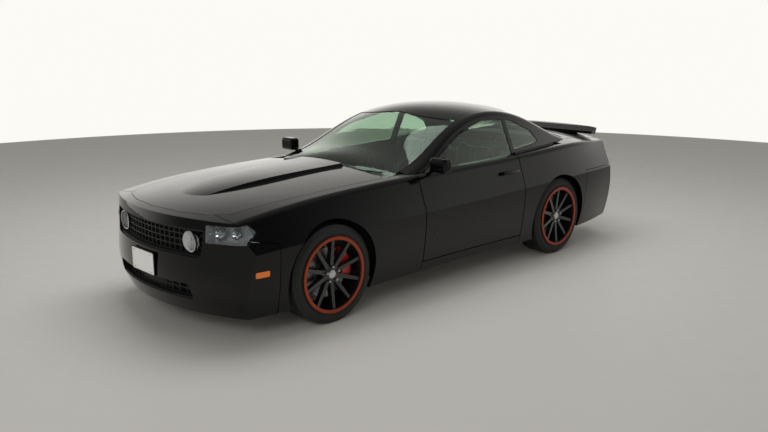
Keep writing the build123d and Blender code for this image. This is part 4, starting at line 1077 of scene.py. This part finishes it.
class MUSCLECAR_OT_engine_bay(CarOperator):
    """Dresses the engine with covers, an intake, a battery and a tank"""

    bl_idname = "muscle_car.engine_bay"
    bl_label = "Dress Engine Bay"

    def execute(self, context):
        low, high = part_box("engine")
        top, middle = high.z, (low.y + high.y) / 2
        cover = [(slab((330, 560, 40), 46, 10), at(0, middle, top + 14 * MM))]
        for x in (-105, -35, 35, 105):
            rib = block((16, 470, 12), 4)
            cover.append((rib, at(x * MM, middle, top + 36 * MM)))
        # Columns: across, back from the engine's front, up from its top, in mm
        turns = ((0, 90, 8), (-120, -30, 0), (-400, 20, -20))
        intake = [(x * MM, low.y + y * MM, top + z * MM) for x, y, z in turns]
        cover.append((bar(intake, 42), HERE))
        cover.append((block((230, 270, 190), 24, 4), at(-0.47, low.y + 40 * MM, top - 80 * MM)))
        finish_mesh(cover, "engine_cover", "lamp_black")

        heads, coils = [], []
        for side in (1, -1):
            out = Vector((side * 0.59, 0, 0.81)).normalized()
            head = Vector((side * 0.252, middle, top - 38 * MM))
            down = Vector((side * 0.81, 0, -0.59))
            heads.append((block((96, 600, 34), 10, 3), looking(out, down, head + out * 8 * MM)))
            for i in range(4):
                spot = head + Vector((0, (i - 1.5) * 140 * MM, 0))
                coils.append((block((34, 46, 26), 6), looking(out, ACROSS, spot + out * 34 * MM)))
        finish_mesh(heads, "head_covers", "satin_alloy")
        finish_mesh(coils, "ignition_coils", "lamp_black")

        seat_z = 0.60
        case = [
            (block((220, 170, 170), 8), at(0.47, -1.86, seat_z + 95 * MM)),
            (block((170, 150, 40), 6), at(0.46, -1.86, seat_z)),
            (block((150, 150, 40), 6), at(-0.46, -1.90, seat_z)),
        ]
        finish_mesh(case, "battery_case", "black_plastic")
        posts = [(peg(9, 26), at(x, -1.90, seat_z + 190 * MM)) for x in (0.40, 0.54)]
        finish_mesh(posts, "battery_posts", "satin_alloy")
        tank = [(block((150, 180, 150), 26, 4), at(-0.47, -1.90, seat_z + 90 * MM))]
        finish_mesh(tank, "coolant_tank", "polythene")
        caps = [
            (peg(30, 24, 24), at(-0.47, -1.90, seat_z + 176 * MM)),
            (peg(24, 18, 24), at(0.07, middle - 0.20, top + 36 * MM)),
        ]
        finish_mesh(caps, "filler_caps", "rubber")
        return {"FINISHED"}


class MUSCLECAR_OT_tail(CarOperator):
    """Adds reflectors and a finned black valance to the tail"""

    bl_idname = "muscle_car.tail"
    bl_label = "Detail Tail"

    def execute(self, context):
        out = Vector((0, 1, 0))
        reflectors, fins = [], []
        for side in (1, -1):
            hit, normal = touch("rear_bumper", (side * 0.62, FAR_BEHIND, 0.50), (0, -1, 0))
            reflectors.append((slab((150, 34, 8), 8, 2), looking(normal, ACROSS, hit + normal * 1 * MM)))
        for x in (-330, -200, -70, 70, 200, 330):
            hit, _ = touch("rear_bumper", (x * MM, FAR_BEHIND, VALANCE_Z), (0, -1, 0))
            fins.append((block((10, 110, 34), 3), looking(out, ACROSS, hit + out * 4 * MM)))
        middle, _ = touch("rear_bumper", (0, FAR_BEHIND, VALANCE_Z), (0, -1, 0))
        fins.append((slab((780, 120, 30), 30, 5), looking(out, ACROSS, middle - out * 10 * MM)))
        finish_mesh(reflectors, "tail_reflectors", "red_lens")
        finish_mesh(fins, "tail_valance", "black_plastic")
        return {"FINISHED"}


class MUSCLECAR_OT_stage(CarOperator):
    """Lays a pale floor and wall, hangs the soft boxes and sets the camera"""

    bl_idname = "muscle_car.stage"
    bl_label = "Set Stage"

    def execute(self, context):
        c, scene = colours(), context.scene
        bm = bmesh.new()
        bmesh.ops.create_circle(bm, cap_ends=True, segments=256, radius=FLOOR_RADIUS)
        mesh = bpy.data.meshes.new("studio_floor")
        bm.to_mesh(mesh)
        bm.free()
        # Sealed concrete: pale grey, faintly blotched, dull
        material, tree, shader, place = new_material("sealed_concrete", Base_Color=c.floor)
        grain(tree, shader, place, 140, 0.2, 0.5, 0.62)
        mesh.materials.append(material)
        floor = bpy.data.objects.new("studio_floor", mesh)
        scene.collection.objects.link(floor)

        # White walls under a greyer ceiling, seen as they are by the camera, by gloss and through glass,
        # and dimmer as a source of light
        world = bpy.data.worlds.new("white_booth")
        world.use_nodes = True
        tree = world.node_tree
        sky = tree.nodes["Background"]
        way = add_node(tree, "ShaderNodeTexCoord").outputs["Generated"]
        height = add_node(tree, "ShaderNodeSeparateXYZ", {"Vector": way}).outputs["Z"]
        rise = self.eased(tree, {"Value": height, "From Min": 0.15, "From Max": 0.62})
        shade = add_node(
            tree, "ShaderNodeMix", {"Factor": rise, MIX_A: c.wall, MIX_B: c.ceiling}, data_type="RGBA"
        )
        tree.links.new(shade.outputs[MIX_RESULT], sky.inputs["Color"])
        path = add_node(tree, "ShaderNodeLightPath").outputs
        seen = self.higher(tree, path["Is Camera Ray"], path["Is Glossy Ray"])
        seen = self.higher(tree, seen, path["Is Transmission Ray"])
        # The open side of the booth, behind the photographer, is dim
        deep = add_node(
            tree, "ShaderNodeVectorMath", {0: way, 1: (-0.69, 0.72, 0)}, operation="DOT_PRODUCT"
        ).outputs["Value"]
        dim = self.eased(
            tree, {"Value": deep, "From Min": -0.3, "From Max": 0.35, "To Min": 0.16, "To Max": 1.0}
        )
        gloss = self.higher(tree, dim, path["Is Camera Ray"])
        level = add_node(tree, "ShaderNodeMix", {"Factor": seen, 2: 0.95, 3: gloss}, data_type="FLOAT")
        tree.links.new(level.outputs[0], sky.inputs["Strength"])
        scene.world = world

        # Columns: name, place, size, watts
        boxes = (
            ("overhead_softbox", (-0.6, 0.4, 5.6), (6.0, 3.6), 240),
            ("front_softbox", (4.6, -7.5, 4.6), (3.6, 2.0), 140),
        )
        for name, spot, area, watts in boxes:
            light = bpy.data.lights.new(name, "AREA")
            light.shape = "RECTANGLE"
            light.size, light.size_y = area
            light.energy = watts
            lamp = bpy.data.objects.new(name, light)
            lamp.location = spot
            aim = Vector((0, 0, 0.6)) - Vector(spot)
            lamp.rotation_euler = aim.to_track_quat("-Z", "Y").to_euler()
            lamp.visible_glossy = False
            scene.collection.objects.link(lamp)

        eye = Vector((4.86, -4.77, 1.90))
        target = Vector((0.11, -0.20, 0.45))
        camera = bpy.data.cameras.new("photo_view")
        camera.lens = sizes().lens
        camera.sensor_width = 36.0
        holder = bpy.data.objects.new("photo_view", camera)
        holder.location = eye
        holder.rotation_euler = (target - eye).to_track_quat("-Z", "Y").to_euler()
        scene.collection.objects.link(holder)
        scene.camera = holder
        scene.view_settings.view_transform = "Standard"
        return {"FINISHED"}

    @staticmethod
    def higher(tree, a, b):
        return add_node(tree, "ShaderNodeMath", {0: a, 1: b}, operation="MAXIMUM").outputs[0]

    @staticmethod
    def eased(tree, span):
        return add_node(tree, "ShaderNodeMapRange", span, interpolation_type="SMOOTHSTEP").outputs["Result"]


OPERATORS = (
    MUSCLECAR_OT_panels,
    MUSCLECAR_OT_seals,
    MUSCLECAR_OT_belt,
    MUSCLECAR_OT_ducts,
    MUSCLECAR_OT_tyres,
    MUSCLECAR_OT_lips,
    MUSCLECAR_OT_brakes,
    MUSCLECAR_OT_headlamps,
    MUSCLECAR_OT_driving_lamps,
    MUSCLECAR_OT_plates,
    MUSCLECAR_OT_mirrors,
    MUSCLECAR_OT_handles,
    MUSCLECAR_OT_wipers,
    MUSCLECAR_OT_seats,
    MUSCLECAR_OT_cabin,
    MUSCLECAR_OT_linings,
    MUSCLECAR_OT_engine_bay,
    MUSCLECAR_OT_tail,
    MUSCLECAR_OT_stage,
)


class MUSCLECAR_PT_sidebar(bpy.types.Panel):
    """The car's operators, colours and sizes"""

    bl_idname = "MUSCLECAR_PT_sidebar"
    bl_label = "Muscle Car"
    bl_space_type = "VIEW_3D"
    bl_region_type = "UI"
    bl_category = "Muscle Car"

    def draw(self, context):
        for operator in OPERATORS:
            self.layout.operator(operator.bl_idname)
        for group in (context.scene.car_colours, context.scene.car_sizes):
            for key in group.bl_rna.properties.keys():
                if key not in ("rna_type", "name"):
                    self.layout.prop(group, key)


CLASSES = (CarColours, CarSizes, *OPERATORS, MUSCLECAR_PT_sidebar)


def register():
    for cls in CLASSES:
        bpy.utils.register_class(cls)
    bpy.types.Scene.car_colours = bpy.props.PointerProperty(type=CarColours)
    bpy.types.Scene.car_sizes = bpy.props.PointerProperty(type=CarSizes)


def unregister():
    del bpy.types.Scene.car_sizes
    del bpy.types.Scene.car_colours
    for cls in reversed(CLASSES):
        bpy.utils.unregister_class(cls)


def main():
    register()
    MATERIALS.update(make_materials())
    for operator in OPERATORS:
        group, name = operator.bl_idname.split(".")
        getattr(getattr(bpy.ops, group), name)()


if __name__ == "__main__":
    main()
